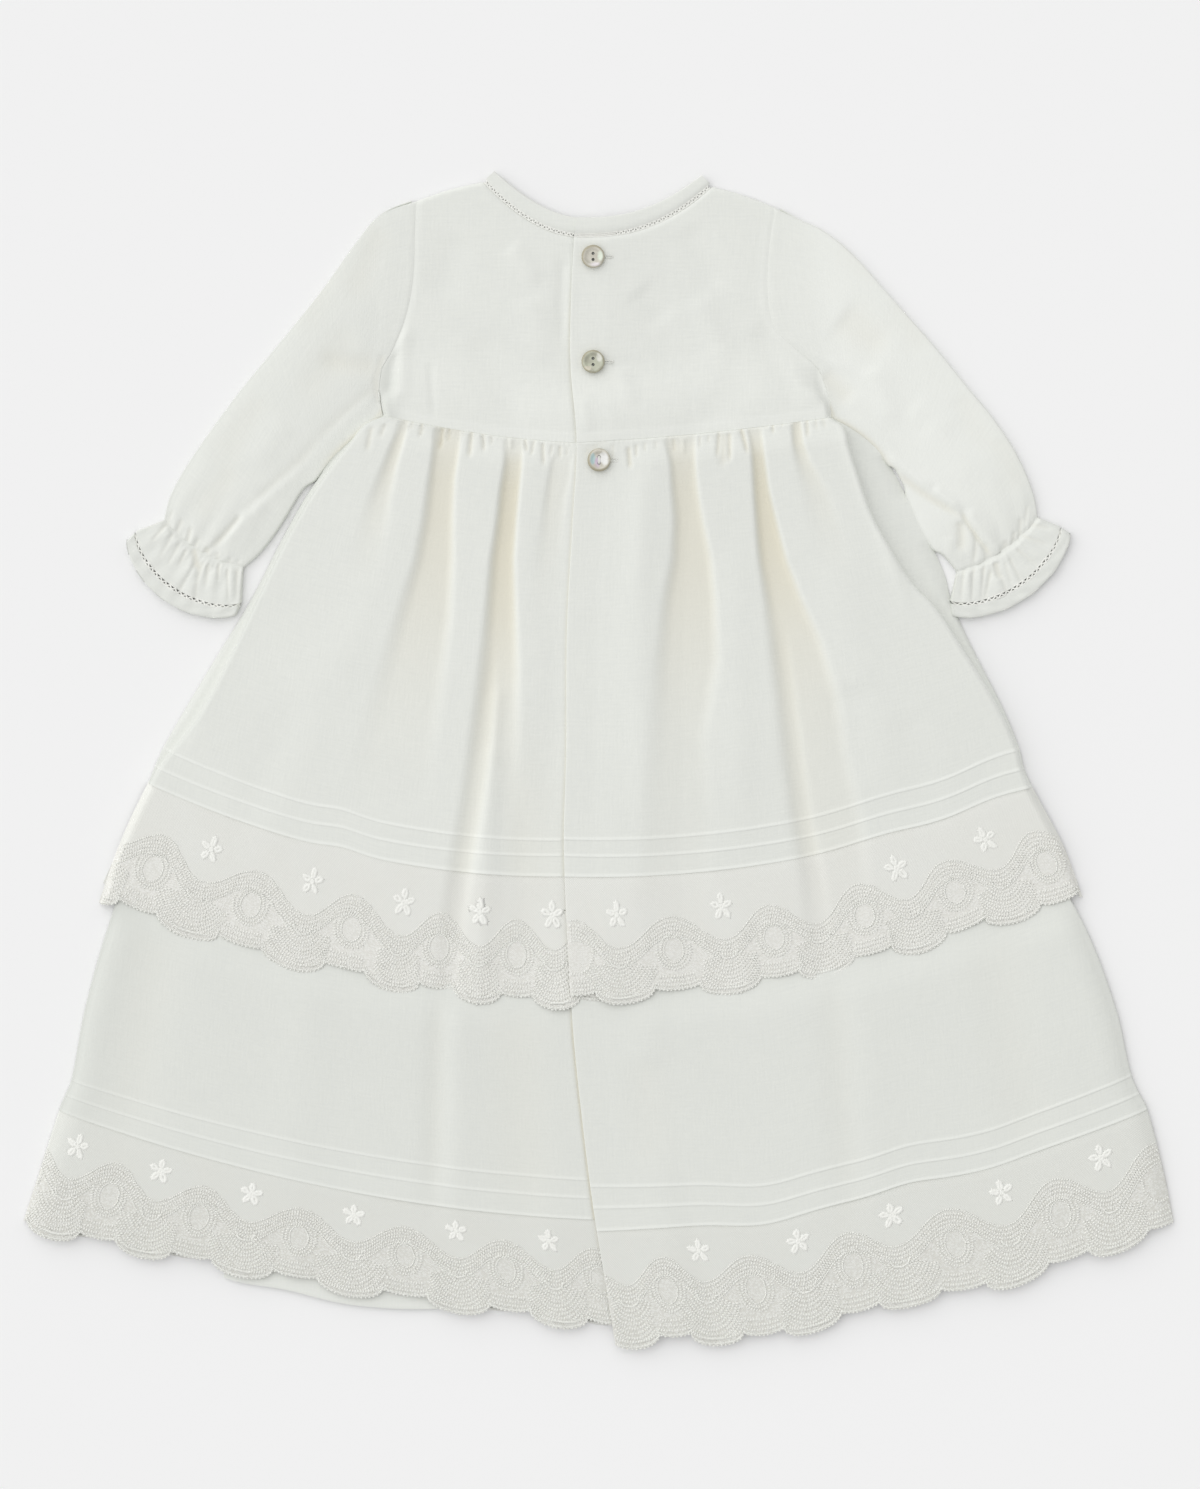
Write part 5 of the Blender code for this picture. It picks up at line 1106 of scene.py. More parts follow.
# outer edges of the back bodice: the armhole, then the side
armholeLeft = {
    "part": [0, 0.2, 0.45, 0.65, 0.85, 1],
    "x": [-95, -95.6, -96.6, -100.6, -107.6, -113.4],
    "y": [291.2, 273, 250, 230.6, 213.6, 204.6],
}
armholeRight = {
    "part": [0, 0.2, 0.45, 0.65, 0.85, 1],
    "x": [92.2, 88.9, 87.8, 91.4, 103.4, 114.8],
    "y": [287.6, 268, 243, 225.4, 213.4, 205],
}
neck = {"lowX": -7.1, "lowY": 272.0, "frontLowY": 246.0, "leftX": -60.1, "leftY": 301.1,
        "leftPower": 2.0, "rightX": 59.0, "rightY": 298.6, "rightPower": 2.3, "binding": 6.8,
        "fuller": 2.2}
bodiceCreases = {
    "x": [-17.5, -44.5, -87.5, 52.5, 21.5, -9.5, -74.5, -61.5, 47.5, 84, -100.5, -106, 116,
          11, 76, -35.5],
    "y": [259, 267, 205.5, 239, 243.5, 187, 270.5, 218.5, 275.5, 223.5, 223.5, 212, 203,
          203, 197.5, 239],
    "endX": [-17, -32, -85.5, 67.5, 34, -6.5, -82.5, -41, 63, 104.5, -104.5, -109.5, 118,
             17.5, 52.5, -28],
    "endY": [216, 249.5, 179, 205, 228, 166.5, 239, 177, 244.5, 187, 187, 183, 184.5, 184.5,
             174, 208],
    "width": [4.5, 5, 1.6, 7, 8, 5, 9, 10, 8, 7, 4, 2.6, 3.0, 5, 9, 8],
    "lift": [-0.35, 0.35, -0.25, 0.35, -0.4, 0.3, -0.3, -0.3, -0.3, -0.35, 0.4, -0.6, -0.5,
             0.3, -0.3, 0.3],
}


def sideCourse(side, v):
    # v: 0 to 8 down the armhole, 8 to 11 down the side to the waist
    table = armholeLeft if side == "Left" else armholeRight
    waist = panels["over" + side]["lines"]
    x = curve(table, "part", clamp(v / 8), "x")
    y = curve(table, "part", clamp(v / 8), "y")
    share = np.interp(v, [8, 9, 10, 11], [0.0, 0.30, 0.62, 1.0])
    bulge = (-1.6 if side == "Left" else 1.2) * np.sin(math.pi * share)
    return mix(x, waist["sideX"][0], share) + bulge, mix(y, waist["sideY"][0], share)


def neckY(x, front=False):
    # y of the top edge at x: the shoulder lines outside the neck, its curve inside
    y = 0.0
    for side, part in (("left", x < neck["lowX"]), ("right", x >= neck["lowX"])):
        endX, endY = neck[side + "X"], neck[side + "Y"]
        table = armholeLeft if side == "left" else armholeRight
        share = (x - endX) / (table["x"][0] - endX)
        shoulder = mix(endY, table["y"][0], share) + np.sin(math.pi * clamp(share))
        low = neck["frontLowY" if front else "lowY"]
        inner = np.abs((x - neck["lowX"]) / (endX - neck["lowX"]))
        scoop = low + (endY - low) * inner ** (2.4 if front else neck[side + "Power"])
        y = y + np.where(part, np.where(np.abs(x) > abs(endX), shoulder, scoop), 0.0)
    return y


def waistY(side, x):
    lines = panels["over" + side]["lines"]
    sideX, sideY, openingY, sag = (lines[key][0] for key in ("sideX", "sideY", "openingY", "sag"))
    return saggedLine(sideY, openingY, sag, (x - sideX) / (openingX(openingY) - sideX))


def bodiceBack(side):
    left = side == "Left"
    toward = 1.0 if left else -1.0
    inner = panels["over" + side]["inner"]
    zones = [(0, a) for a in (0.0, 0.25, 0.6, 1.0, 1.5, 2.2, 3.4, 4.7)] + [(1, k / 60) for k in range(61)]
    zones += [(2, a) for a in openingColumns(left, inner)]
    zone, amount = (np.array(part, float)[None, :] for part in zip(*zones))
    v = np.concatenate([[0, 0.03, 0.08, 0.14, 0.22], np.linspace(0.35, 10.2, 52), np.linspace(10.3, 11.0, 8)])
    v = v[:, None]
    sideX, sideY = sideCourse(side, v)
    topX, topY = (float(value) for value in sideCourse(side, 0.0))
    lowX, lowY = (float(value) for value in sideCourse(side, 11.0))

    def cross(edgeX, y):
        # x of the columns on a cross line: mm from the edge, shares of the width, mm from the opening
        centreX = openingX(y)
        even = mix(edgeX + toward * (1.0 + wall["rim"]), centreX - toward * inner, amount)
        return np.select([zone == 0, zone == 1], [edgeX + toward * amount, even], centreX - toward * amount)

    down = (topY - sideY) / (topY - lowY)
    openingY = mix(neck["lowY"], overLeft["openingY"][0], down)
    x = cross(sideX, openingY)
    atNeck = cross(topX, neck["lowY"])
    top = neckY(atNeck)
    y = mix(top, waistY(side, cross(lowX, overLeft["openingY"][0])), down)
    aboveWaist = y - waistY(side, x)
    fromOpening = toward * (openingX(openingY) - x)
    fromSide = toward * (x - sideX)
    low = wall["ply"] if left else wall["ply"] * (1.0 + overLap(fromOpening, lap["underRamp"]))
    high = overBase(left, (fromSide - 1.0) * mix(0.15, 1.0, ease((v - 9.3) / 1.6)), fromOpening)
    z = mix(low, high, ease((v - 6.0) / 4.0)) + wall["solid"]
    soft = ease(fromOpening / 6.0) * ease(fromSide / 4.0) * ease(aboveWaist / 9.0)
    z = z + (2.3 * creaseLift(bodiceCreases, x, y) + 1.1 * rumple(x, y)) * soft
    # the seam allowances show through above the waist and beside the armhole
    seamBand = np.maximum(ease((aboveWaist - 5.2) / -0.6), 0.6 * ease((fromSide - 5.0) / -0.8) * (v < 8.0))
    z = z + 0.14 * seamBand
    z = z - 0.22 * np.exp(-(fromSide / 1.4) ** 2) * (1.0 - ease((v - 7.8) / 0.5))
    z = z - 0.1 * np.exp(-(aboveWaist / 1.2) ** 2)
    z = z - 0.8 * np.exp(-((top - y) / 1.3) ** 2)  # it thins towards the open-work seam
    line = groove(left, fromOpening)
    z = z - 0.1 * line
    z = mix(z, rolled(z, fromSide), ease((v - 7.9) / 0.4))
    outside = np.where(atNeck < neck["lowX"], neck["leftX"] - atNeck, atNeck - neck["rightX"])
    z = mix(z, rolled(z, top - y), ease(outside / 1.0))
    z = openingEdge(z, panels["over" + side], fromOpening)
    # painted shade on the left back's side slope, which faces the light, and along the opening's groove
    thinClothAndPaintedShade = 0.6 * left * (1.0 - ease((fromSide - 5.0) / 9.0)) * ease((v - 6.5) / 3.0)
    deep = 0.3 * line * ease((v - 1.0) / 3.0)
    made = clothPiece("backBodice" + side, (x, y, z), (x, y), "back_bodice_" + side.lower(),
                      marks={"doubledAndPaintedLight": 0.3 * seamBand, "thinClothAndPaintedShade": thinClothAndPaintedShade, "deep": deep})


def bodiceFront():
    v = np.linspace(0.0, 11.0, 50)[:, None]
    (leftX, leftY), (rightX, rightY) = sideCourse("Left", v), sideCourse("Right", v)
    inset = 1.4 / (rightX - leftX)
    share = mix(inset, 1.0 - inset, np.linspace(0.0, 1.0, 80)[None, :])
    x = mix(leftX, rightX, share)
    downLeft = (leftY[0] - leftY) / (leftY[0] - leftY[-1])
    downRight = (rightY[0] - rightY) / (rightY[0] - rightY[-1])
    footX = mix(leftX[-1], rightX[-1], share)
    waistX = openingX(164.8)
    footY = np.where(footX < waistX, waistY("Left", footX), waistY("Right", footX))
    topX = mix(leftX[0], rightX[0], share)
    topY = neckY(topX, front=True) - 1.4 * ((topX < neck["leftX"]) | (topX > neck["rightX"]))
    y = mix(topY, footY, mix(downLeft, downRight, share))
    made = clothPiece("frontBodice", (x, y, 0.5 + 0.6 * flatCreases(x, y)), (x, y), "front_bodice")


def besideNeck(x, reach, front=False):
    # the point at this reach from the neck line, square to it at x
    back, ahead = np.maximum(x - 0.4, neck["leftX"]), np.minimum(x + 0.4, neck["rightX"])
    stepX, stepY = ahead - back, neckY(ahead, front) - neckY(back, front)
    length = np.hypot(stepX, stepY)
    return x - stepY / length * reach, neckY(x, front) + stepX / length * reach


def neckStrip(name, xs, rest, node, front=False):
    # a folded binding: over the top, round its fold and back underneath
    turn = np.linspace(0.0, math.pi, 9)
    row = [0.0, 0.03, 0.1, 0.25, 0.45, 0.65, 0.82], 0.92 + 0.08 * np.sin(turn), [0.8, 0.5, 0.2, 0.0]
    row = np.concatenate(row)[:, None]
    side = np.concatenate([np.ones(7), np.cos(turn), -np.ones(4)])[:, None]
    x = np.array(xs)[None, :]
    neckEnd = np.where(x < neck["lowX"], neck["leftX"], neck["rightX"])
    across = np.abs((x - neck["lowX"]) / (neckEnd - neck["lowX"]))
    reach = 1.95 + (neck["binding"] - 0.7 + neck["fuller"] * (1.0 - across ** 3)) * row
    crown = 0.22 * np.sqrt(np.maximum(1 - (2 * row - 1) ** 4, 0.0)) * (side > 0.9)
    z = rest(x) + 0.60 + 0.52 * side + crown - 0.5 * (1.0 - ease(row / 0.2)) * (side > 0.9)
    px, py = besideNeck(x, reach, front)
    made = clothPiece(name, (px, py, z), (px, py - 7.0 * (1.0 - side)), node)


bodiceBack("Left")
bodiceBack("Right")
bodiceFront()
neckSplit = float(openingX(neck["lowY"]))  # where the two backs meet at the neck
neckRests = {  # what the binding lies on
    "left": lambda x: wall["ply"] + 0.0 * x,
    "right": lambda x: wall["ply"] * (1.0 + overLap(x - neckSplit, lap["underRamp"])),
    "front": lambda x: 0.0 * x - 0.06,
}
neckStrip("neckBindingLeft", np.linspace(neck["leftX"], neckSplit + lap["width"] - 1.0, 60),
          neckRests["left"], "neck_binding_left")
rightXs = np.concatenate([[neckSplit, neckSplit + 0.3], np.linspace(neckSplit + 1.2, neck["rightX"], 56)])
neckStrip("neckBindingRight", rightXs, neckRests["right"], "neck_binding_right")
neckStrip("neckBindingFront", np.linspace(neck["leftX"], neck["rightX"], 80),
          neckRests["front"], "neck_binding_front", front=True)
print("bodice ready")


# cross lines of the sleeves, armhole to elastic. puff: how far the upper layer stands up.
sleeveLeft = {
    "outX": [-113.6, -127.6, -142.6, -155.2, -172, -186.9, -202.3, -215, -223, -226.2],
    "outY": [284, 267.6, 246.5, 230.4, 210.1, 191.9, 171.1, 152.4, 137.6, 125.3],
    "inX": [-119.0, -125.8, -134.2, -141.6, -148.8, -155.4, -161.6, -168.8, -176.4, -184.6],
    "inY": [176.8, 171.8, 164.2, 156.6, 147.2, 138.6, 128.2, 117, 107.4, 100.2],
    "bow": [-2, -2, -1, 0, 0, 0, 0, 0, 2, 4.2],
    "puff": [1, 1.6, 2, 2.2, 2.2, 2.2, 2.2, 2.2, 1.8, 0.4],
}
sleeveRight = {
    "outX": [104, 118, 132.4, 147.9, 162, 176.6, 191.4, 205.4, 217.4, 225.8, 228.6],
    "outY": [281.8, 275, 263.2, 246, 230, 213.4, 195, 178, 159.8, 140.6, 126.6],
    "inX": [124.8, 131.6, 140.2, 147.0, 152.9, 158.2, 163.6, 168.4, 174.6, 181.2, 186.4],
    "inY": [178.2, 174.6, 168.6, 162.0, 153.7, 144.0, 134.0, 122.6, 112.2, 104.4, 98.0],
    "bow": [-4, -3, -2, -1, 0, 0, 0, 0, 1, 3, 4.2],
    "puff": [1, 1.6, 2, 2.2, 2.2, 2.2, 2.2, 2.2, 2.2, 1.8, 0.4],
}
# the elastic, the frill's lower line and the binding's edge
cuffLeft = {"outX": [-226.5, -240.6, -245.4], "outY": [124.8, 119.4, 114.6],
            "inX": [-184.9, -185.8, -188.4], "inY": [99.7, 82.0, 75.8], "bow": [4.2, 13.4, 15.2]}
cuffRight = {"outX": [229.0, 239.8, 245.2], "outY": [126.1, 121.8, 118.0],
             "inX": [186.2, 182.8, 183.2], "inY": [97.4, 83.0, 75.6], "bow": [4.2, 13.0, 15.0]}
cuff = {"waves": 7, "lift": 0.6, "puckers": 19}
sleeveCreases = {
    "x": [-111.5, -117, -117, -118, -147, -120, -162, -155.5, -186.5, -181.5, -175, -199, -192, -187.5,
          -204, -216.5, -212.5, -221, -209, -139.5, -114.5, -129.5, -176, -191.5, 99, 117,
          142, 126.5, 164.5, 151, 175.5, 156.5, 190, 194, 188.5, 181.5, 195.5, 200.5, 211,
          216, 220, 224, 156.5, 130.5, 188, 208.5, 172.5],
    "y": [209, 197, 204, 192, 164.5, 186, 173.5, 151, 127, 129, 135, 108, 106, 105, 110, 124, 119.5,
          129, 114.5, 265, 274.5, 223.5, 187, 151, 219.5, 200.5, 202, 230, 184.5, 157,
          140.5, 148.5, 127, 128, 122.5, 114.5, 118.5, 112, 114.5, 119.5, 126, 132.5, 239,
          270.5, 187, 166.5, 171.5],
    "endX": [-117, -114, -144, -147, -186.5, -155.5, -180, -181.5, -202.5, -196, -188.5, -198, -191.5,
             -187, -208, -222, -217, -225.5, -212.5, -155.5, -128, -155.5, -199.5, -207.5,
             132, 130.5, 153.5, 150.5, 188, 175.5, 189, 189, 204.5, 208.5, 187.5, 180.5,
             195, 201.5, 208, 213, 218, 222, 172.5, 146.5, 203.5, 219, 195.5],
    "endY": [197, 184, 209, 164.5, 127, 151, 153.5, 125, 110, 112, 104, 99, 98.5, 99, 101, 114.5, 108,
             120.5, 106, 223.5, 239, 187, 151, 125, 200.5, 186, 174.5, 213, 171.5, 140.5,
             129.5, 125.5, 106, 108, 107.5, 103, 101, 101, 103, 108, 115.5, 122.5, 213,
             249.5, 161, 140.5, 145.5],
    "width": [1.7, 1.8, 5.5, 3.0, 2.8, 4.2, 7, 4, 1.4, 3.2, 4.5, 1.1, 1.0, 1.0, 1.5, 1.2, 1.2, 1.1,
              1.1, 9, 7, 8, 8, 6, 2.2, 5.0, 7, 9, 7, 2.2, 2.2, 1.7, 1.2, 2.8, 2.6, 3, 1.2,
              1.1, 1.3, 1.2, 1.2, 1.1, 8, 8, 8, 7, 8],
    "lift": [-1.4, -1.5, -1.2, -0.7, -0.8, 0.5, 0.7, 0.6, -1.6, 0.9, 0.7, -1.0, -0.7, -0.7, -1.8, -0.9,
             -1.0, -0.8, -0.9, -0.6, -0.7, -0.5, -0.5, -0.6, 0.8, -1.4, 1.0, -1.1, 0.5, 1.7,
             1.6, -2.2, -2.2, 0.9, -1.7, 0.7, -1.0, -0.9, -1.1, -0.9, -0.9, -0.7, -0.6,
             -0.6, -0.5, -0.6, 0.5],
    "bow": [0, 0, 0, 1.0, -1.0, 0, 0, 0, 0, 0, 0, 0, 0, 0, 0, 0, 0, 0, 0, 0, 0, 0, 0, 0, 0, 0, 0,
            0, 0, 0, 0, 0, 1.6, 1.6, 0, 0, 0, 0, 0, 0, 0, 0, 0, 0, 0, 0, 0],
}
cuffCreases = {
    "x": [-210.5, -209.5, -208, -211, -224.5, -227.5, -221.5, -218, -214.5, -223, -203,
          -197.5, -193, -188, -200.5, -190.5, -205.5, 206.5, 204, 209, 206.5, 214, 218,
          218.5, 221, 225, 227.5, 211.5, 200.5, 195, 190, 185.5, 198, 192.5],
    "y": [109.5, 102.5, 101, 100, 123, 125.5, 117.5, 112.5, 109.5, 119.5, 101.5, 102, 99,
          99.5, 98, 96.5, 103, 102.5, 98, 96.5, 94.5, 104.5, 109.5, 112.5, 116.5, 122.5,
          127, 102.5, 100.5, 99.5, 99.5, 100, 96.5, 96.5],
    "endX": [-208, -219, -210, -214, -233, -236.5, -228.5, -224.5, -218.5, -230, -204.5,
             -198, -192.5, -188.5, -201, -190.5, -208.5, 208.5, 200.5, 213, 207.5, 220.5,
             228.5, 229.5, 233.5, 236, 236, 215, 199, 194, 188.5, 184.5, 197, 191.5],
    "endY": [98.5, 86.5, 82, 87.5, 113, 119, 105, 101, 101, 109, 89.5, 92.5, 82, 82, 82, 82,
             93.5, 94, 82, 85.5, 83, 91.5, 101, 104, 112, 120, 126, 90.5, 83, 82, 82, 83,
             83, 82],
    "width": [1.5, 1.1, 1.1, 2.6, 1.1, 1.1, 1.1, 0.9, 0.9, 1.8, 1.1, 0.9, 0.9, 1.1, 2.4,
              2.0, 1.0, 1.5, 1.1, 1.1, 2.6, 1.0, 1.0, 1.4, 1.0, 1.0, 1.0, 0.9, 1.0, 0.9,
              1.0, 1.0, 2.2, 2.0],
    "lift": [-2.2, -1.5, -1.3, 1.2, -1.0, -0.8, -0.8, -0.8, -1.0, 0.7, -1.3, -1.1, -1.1,
             -1.0, 0.9, 0.8, -0.8, -2.2, -1.5, -1.3, 1.2, -1.1, -1.1, 0.9, -0.9, -0.8, -0.6,
             -0.8, -1.2, -1.0, -0.9, -0.7, 0.8, 0.7],
}


def acrossLine(line, share, power=1.0):
    # a point on a cross line that bows away from its straight chord, and the chord's length
    ax, ay, bx, by = (line[key] for key in ("outX", "outY", "inX", "inY"))
    width = np.hypot(bx - ax, by - ay)
    away = np.where(ax < 0, -1.0, 1.0)
    nx, ny = away * (ay - by) / width, away * (bx - ax) / width
    swell = line["bow"] * (4 * share * (1 - share)) ** power
    return mix(ax, bx, share) + nx * swell, mix(ay, by, share) + ny * swell, width


def ringShares(over, under):
    # shares round a flattened tube: the upper layer from edge to edge, then the lower one back
    top = 0.5 - 0.5 * np.cos(np.linspace(0.0, math.pi, over))
    low = 0.5 + 0.5 * np.cos(np.linspace(0.0, math.pi, under))
    return np.concatenate([mix(top, np.linspace(0, 1, over), 0.55), low[1:]]), over


def armholeRing(side, share, lower):
    away = -1.0 if side == "Left" else 1.0
    v = np.where(share > 0.95, mix(9.5, 10.9, (share - 0.95) / 0.05), share * 10.0)
    x, y = sideCourse(side, v)
    px, py = sideCourse(side, np.maximum(v - 0.5, 0.0))
    qx, qy = sideCourse(side, np.minimum(v + 0.5, 11.0))
    length = np.hypot(qx - px, qy - py)
    off = np.where(lower, 2.6, -0.8)  # the upper layer starts just under the bodice's edge
    return x + away * (py - qy) / length * off, y + away * (qx - px) / length * off


def stackCurve(rings, t):
    # smooth interpolation through a stack of rings, at ring positions t
    count = len(rings)
    t = np.clip(t, 0, count - 1)
    k = np.clip(np.floor(t).astype(int), 0, count - 2)
    f = (t - k)[:, None]
    before, after = rings[np.maximum(k - 1, 0)], rings[np.minimum(k + 2, count - 1)]
    a, b = rings[k], rings[k + 1]
    bend = 2 * before - 5 * a + 4 * b - after + f * (3 * (a - b) + after - before)
    return a + 0.5 * f * (b - before + f * bend)


def flattenedTube(share, width, height):
    # its upper and lower surfaces: the edges are round and touch at half its thickness
    fromEdge = np.minimum(share, 1.0 - share) * width
    round_ = roundedEdge(fromEdge, 0.9)
    top = mix(wall["edgeZ"], wall["ply"] + wall["solid"] + height, round_)
    return top, wall["edgeZ"] * (1.0 - round_), round_, fromEdge


def sleevePiece(side, table):
    count = len(table["outX"])
    shares, over = ringShares(88, 20)
    lower = np.arange(len(shares)) >= over
    rings = [armholeRing(side, shares, lower)]
    for k in range(count):
        rings.append(acrossLine({key: table[key][k] for key in table}, shares)[:2])
    t = [0.0, 0.03, 0.06, 0.09], np.linspace(0.14, count - 3, 80), np.linspace(count - 2.94, count, 56)
    t = np.concatenate(t)
    x, y = (stackCurve(np.array(part), t) for part in zip(*rings))
    t, share, lower = t[:, None], shares[None, :], lower[None, :]
    inwards = np.where(x[:, :1] < 0, 1.0, -1.0)
    reach = 2.4 * ease((share - 0.9) / 0.1) * sleeveTouch(side == "Left", y) * (t > 0.3)
    x, y = x + inwards * 0.75 * reach, y - 0.66 * reach
    puff = curve({**table, "ring": list(range(1, count + 1))}, "ring", t, "puff") * ease(t / 1.0)
    body = np.sqrt(np.maximum(1.0 - (2.0 * share - 1.0) ** 2, 0.0))
    phase = (share - 0.04) / 0.92 * 9
    wave = np.cos(math.pi * phase + 0.5 * np.sin(phase * 1.3))
    gathers = 0.3 * (1.0 - wave) * ease((t - (count - 3)) / 3.0)
    fine = 0.2 * (1.0 - np.cos(math.pi * phase * 2.6 + 1.1)) * ease((t - (count - 0.6)) / 0.6)
    creases = creaseLift(sleeveCreases, x + 0.9 * np.sin(y / 6.5), y + 0.9 * np.sin(x / 8.0)) * ease(t / 0.5)
    height = puff + 0.85 * creases + 0.8 * rumple(x, y) + gathers + fine
    width = np.hypot(x[:, :1] - x[:, over - 1:over], y[:, :1] - y[:, over - 1:over])
    top, bottom, roundness, _ = flattenedTube(share, width, softFloor(height - 0.2) * body)
    seam = 1.0 - ease(t / 0.2)
    top = mix(top, np.minimum(top, 2.48), seam) - 0.22 * (t == 0.0)
    top = top - 0.5 * np.exp(-((count - t) / 0.16) ** 2) * roundness
    z = np.where(lower, bottom + 0.52 * (1.0 - ease((t - 0.6) / 0.8)), top)
    fromInner = (1.0 - share) * width
    # painted shade in the creases and along the inner edge below the armpit; painted shade at the turned
    # edges, more on edges that face the light; painted light over the right sleeve
    deep = clamp(-creases / 6.5) + 0.5 * np.exp(-((fromInner - 1.0) / 1.6) ** 2) * ease((y - 146.0) / 18.0)
    lit, far = (0.7, 0.25) if side == "Left" else (0.1, 0.3)
    thinClothAndPaintedShade = (sideShade(share * width, lit) + sideShade(fromInner, far)) * ease(t / 0.8)
    paintedSleeveLight = (1.0 if side == "Right" else 0.05) * ease(t / 2.5) * ease((count - 0.5 - t) / 3.0)
    u = np.where(lower, 2 * width - share * width, share * width)
    made = clothPiece("sleeve" + side, (x, y, z), (u, 18.0 * t), "sleeve_" + side.lower(),
                      marks={"deep": np.where(lower, 0.0, deep), "doubledAndPaintedLight": paintedSleeveLight, "thinClothAndPaintedShade": thinClothAndPaintedShade})


def cuffWave(share, amount):
    phase = (share - 0.04) / 0.92 * cuff["waves"]
    uneven = 0.75 + 0.25 * np.sin(2.1 * np.floor(phase) + 0.8)
    body = np.minimum(1.0, 2.0 * np.sqrt(np.maximum(1.0 - (2.0 * share - 1.0) ** 2, 0.0)))
    return amount * uneven * (0.5 - 0.5 * np.cos(2 * math.pi * phase)) * body


def cuffLine(table, t):
    return {key: np.interp(t, [0.0, 1.0, 2.0], table[key]) for key in table}


def cuffPiece(name, table, start, end, profile, node):
    shares, over = ringShares(150, 30)
    lower = (np.arange(len(shares)) >= over)[None, :]
    share, t = shares[None, :], np.linspace(start, end, profile["rows"])[:, None]
    inner = np.zeros(t.shape)
    if profile["turned"]:  # it folds at its edge and runs back inside itself
        t = np.concatenate([t, [[end + 0.02], [end - 0.02]], t[-2::-1]])
        inner = (np.arange(len(t)) > profile["rows"])[:, None].astype(float)
    line = cuffLine(table, t)
    for key in line:
        line[key] = line[key] + np.minimum(t, 0.0) * (table[key][1] - table[key][0])
    station = (t - max(start, 0.0)) / (end - max(start, 0.0))
    power = np.interp(t, [0.0, 0.35, 1.0, 2.0], [1.0, 0.9, 0.75, 0.75])
    x, y, width = acrossLine(line, mix(share, mix(0.025, 0.975, share), inner), power)
    waves = cuffWave(share, np.interp(station, profile["at"], profile["waves"]))
    puckers = 0.45 * profile["puckers"] * np.exp(-(station / 0.28) ** 2) * (
        0.5 + 0.5 * np.cos(2 * math.pi * share * cuff["puckers"] + 1.2 * np.sin(9 * share)))
    depth = mix(mix(0.85, 0.4, ease(station / 0.7)), 0.4, profile["turned"] * 2.0)
    creases = creaseLift(cuffCreases, x, y) * depth
    height = 0.3 + softFloor(waves + puckers + creases + 0.5) + 0.1 * np.sin(t * 9 + share * 30)
    top, bottom, roundness, fromEdge = flattenedTube(share, width, height)
    top = top - profile["turned"] * clamp((station - 0.85) / 0.15) ** 2 * roundness
    top = mix(top, np.minimum(top, 2.6), 1.0 - ease((t + 0.06) / 0.2))
    z = np.where(lower, bottom, top)
    z = mix(z, mix(wall["edgeZ"], z, 0.3), inner) + 0.55 * lower * (t > end - 0.01) * profile["turned"] * 2.0
    u = np.where(lower, 2 * width - share * width, share * width) * 1.6
    # painted shade in the creases and at the turned edges
    made = clothPiece(name, (x, y, z), (u, t * 24.0), node, marks={
        "deep": np.where(lower, 0.0, clamp(-creases / 4.5)), "thinClothAndPaintedShade": sideShade(fromEdge, 0.3)})


sleevePiece("Left", sleeveLeft)
sleevePiece("Right", sleeveRight)
frill = {"rows": 34, "at": [0.0, 0.35, 1.0], "waves": [0.4, cuff["lift"], 0.4], "puckers": 0.4, "turned": 0.0}
edge = {"rows": 10, "at": [0.0, 1.0], "waves": [0.5, 0.3], "puckers": 0.0, "turned": 0.5}
for side, table in (("Left", cuffLeft), ("Right", cuffRight)):
    cuffPiece("cuffFrill" + side, table, -0.06, 0.99, frill, "cuff_frill_" + side.lower())
    cuffPiece("cuffBinding" + side, table, 1.18, 2.0, edge, "cuff_binding_" + side.lower())
print("sleeves and cuffs ready")


# thread of the open-work seams, the buttonholes and the waist button
sewing = {
    "zigzag": {"spacing": 0.5, "length": 1.5, "width": 1.1, "height": 0.7, "turn": 0.0, "seed": 21},
    "cuff": {"spacing": 0.5, "length": 1.5, "width": 1.3, "height": 0.7, "turn": 0.0, "seed": 25},
    "rail": {"spacing": 0.6, "length": 1.5, "width": 1.05, "height": 0.6, "turn": 0.0, "seed": 22},
    "hole": {"spacing": 0.5, "length": 1.3, "width": 0.5, "height": 0.4, "turn": 1.5708, "seed": 23},
    "bar": {"spacing": 0.5, "length": 1.4, "width": 0.5, "height": 0.35, "turn": 0.0, "seed": 24},
}


def evenSteps(xs, front, step):
    # x values an even step apart along the neck line
    path = np.stack(besideNeck(xs, 1.2, front), axis=-1)
    gone = np.concatenate([[0.0], np.cumsum(np.hypot(*np.diff(path, axis=0).T))])
    return np.interp(np.arange(0.0, gone[-1], step), gone, xs)


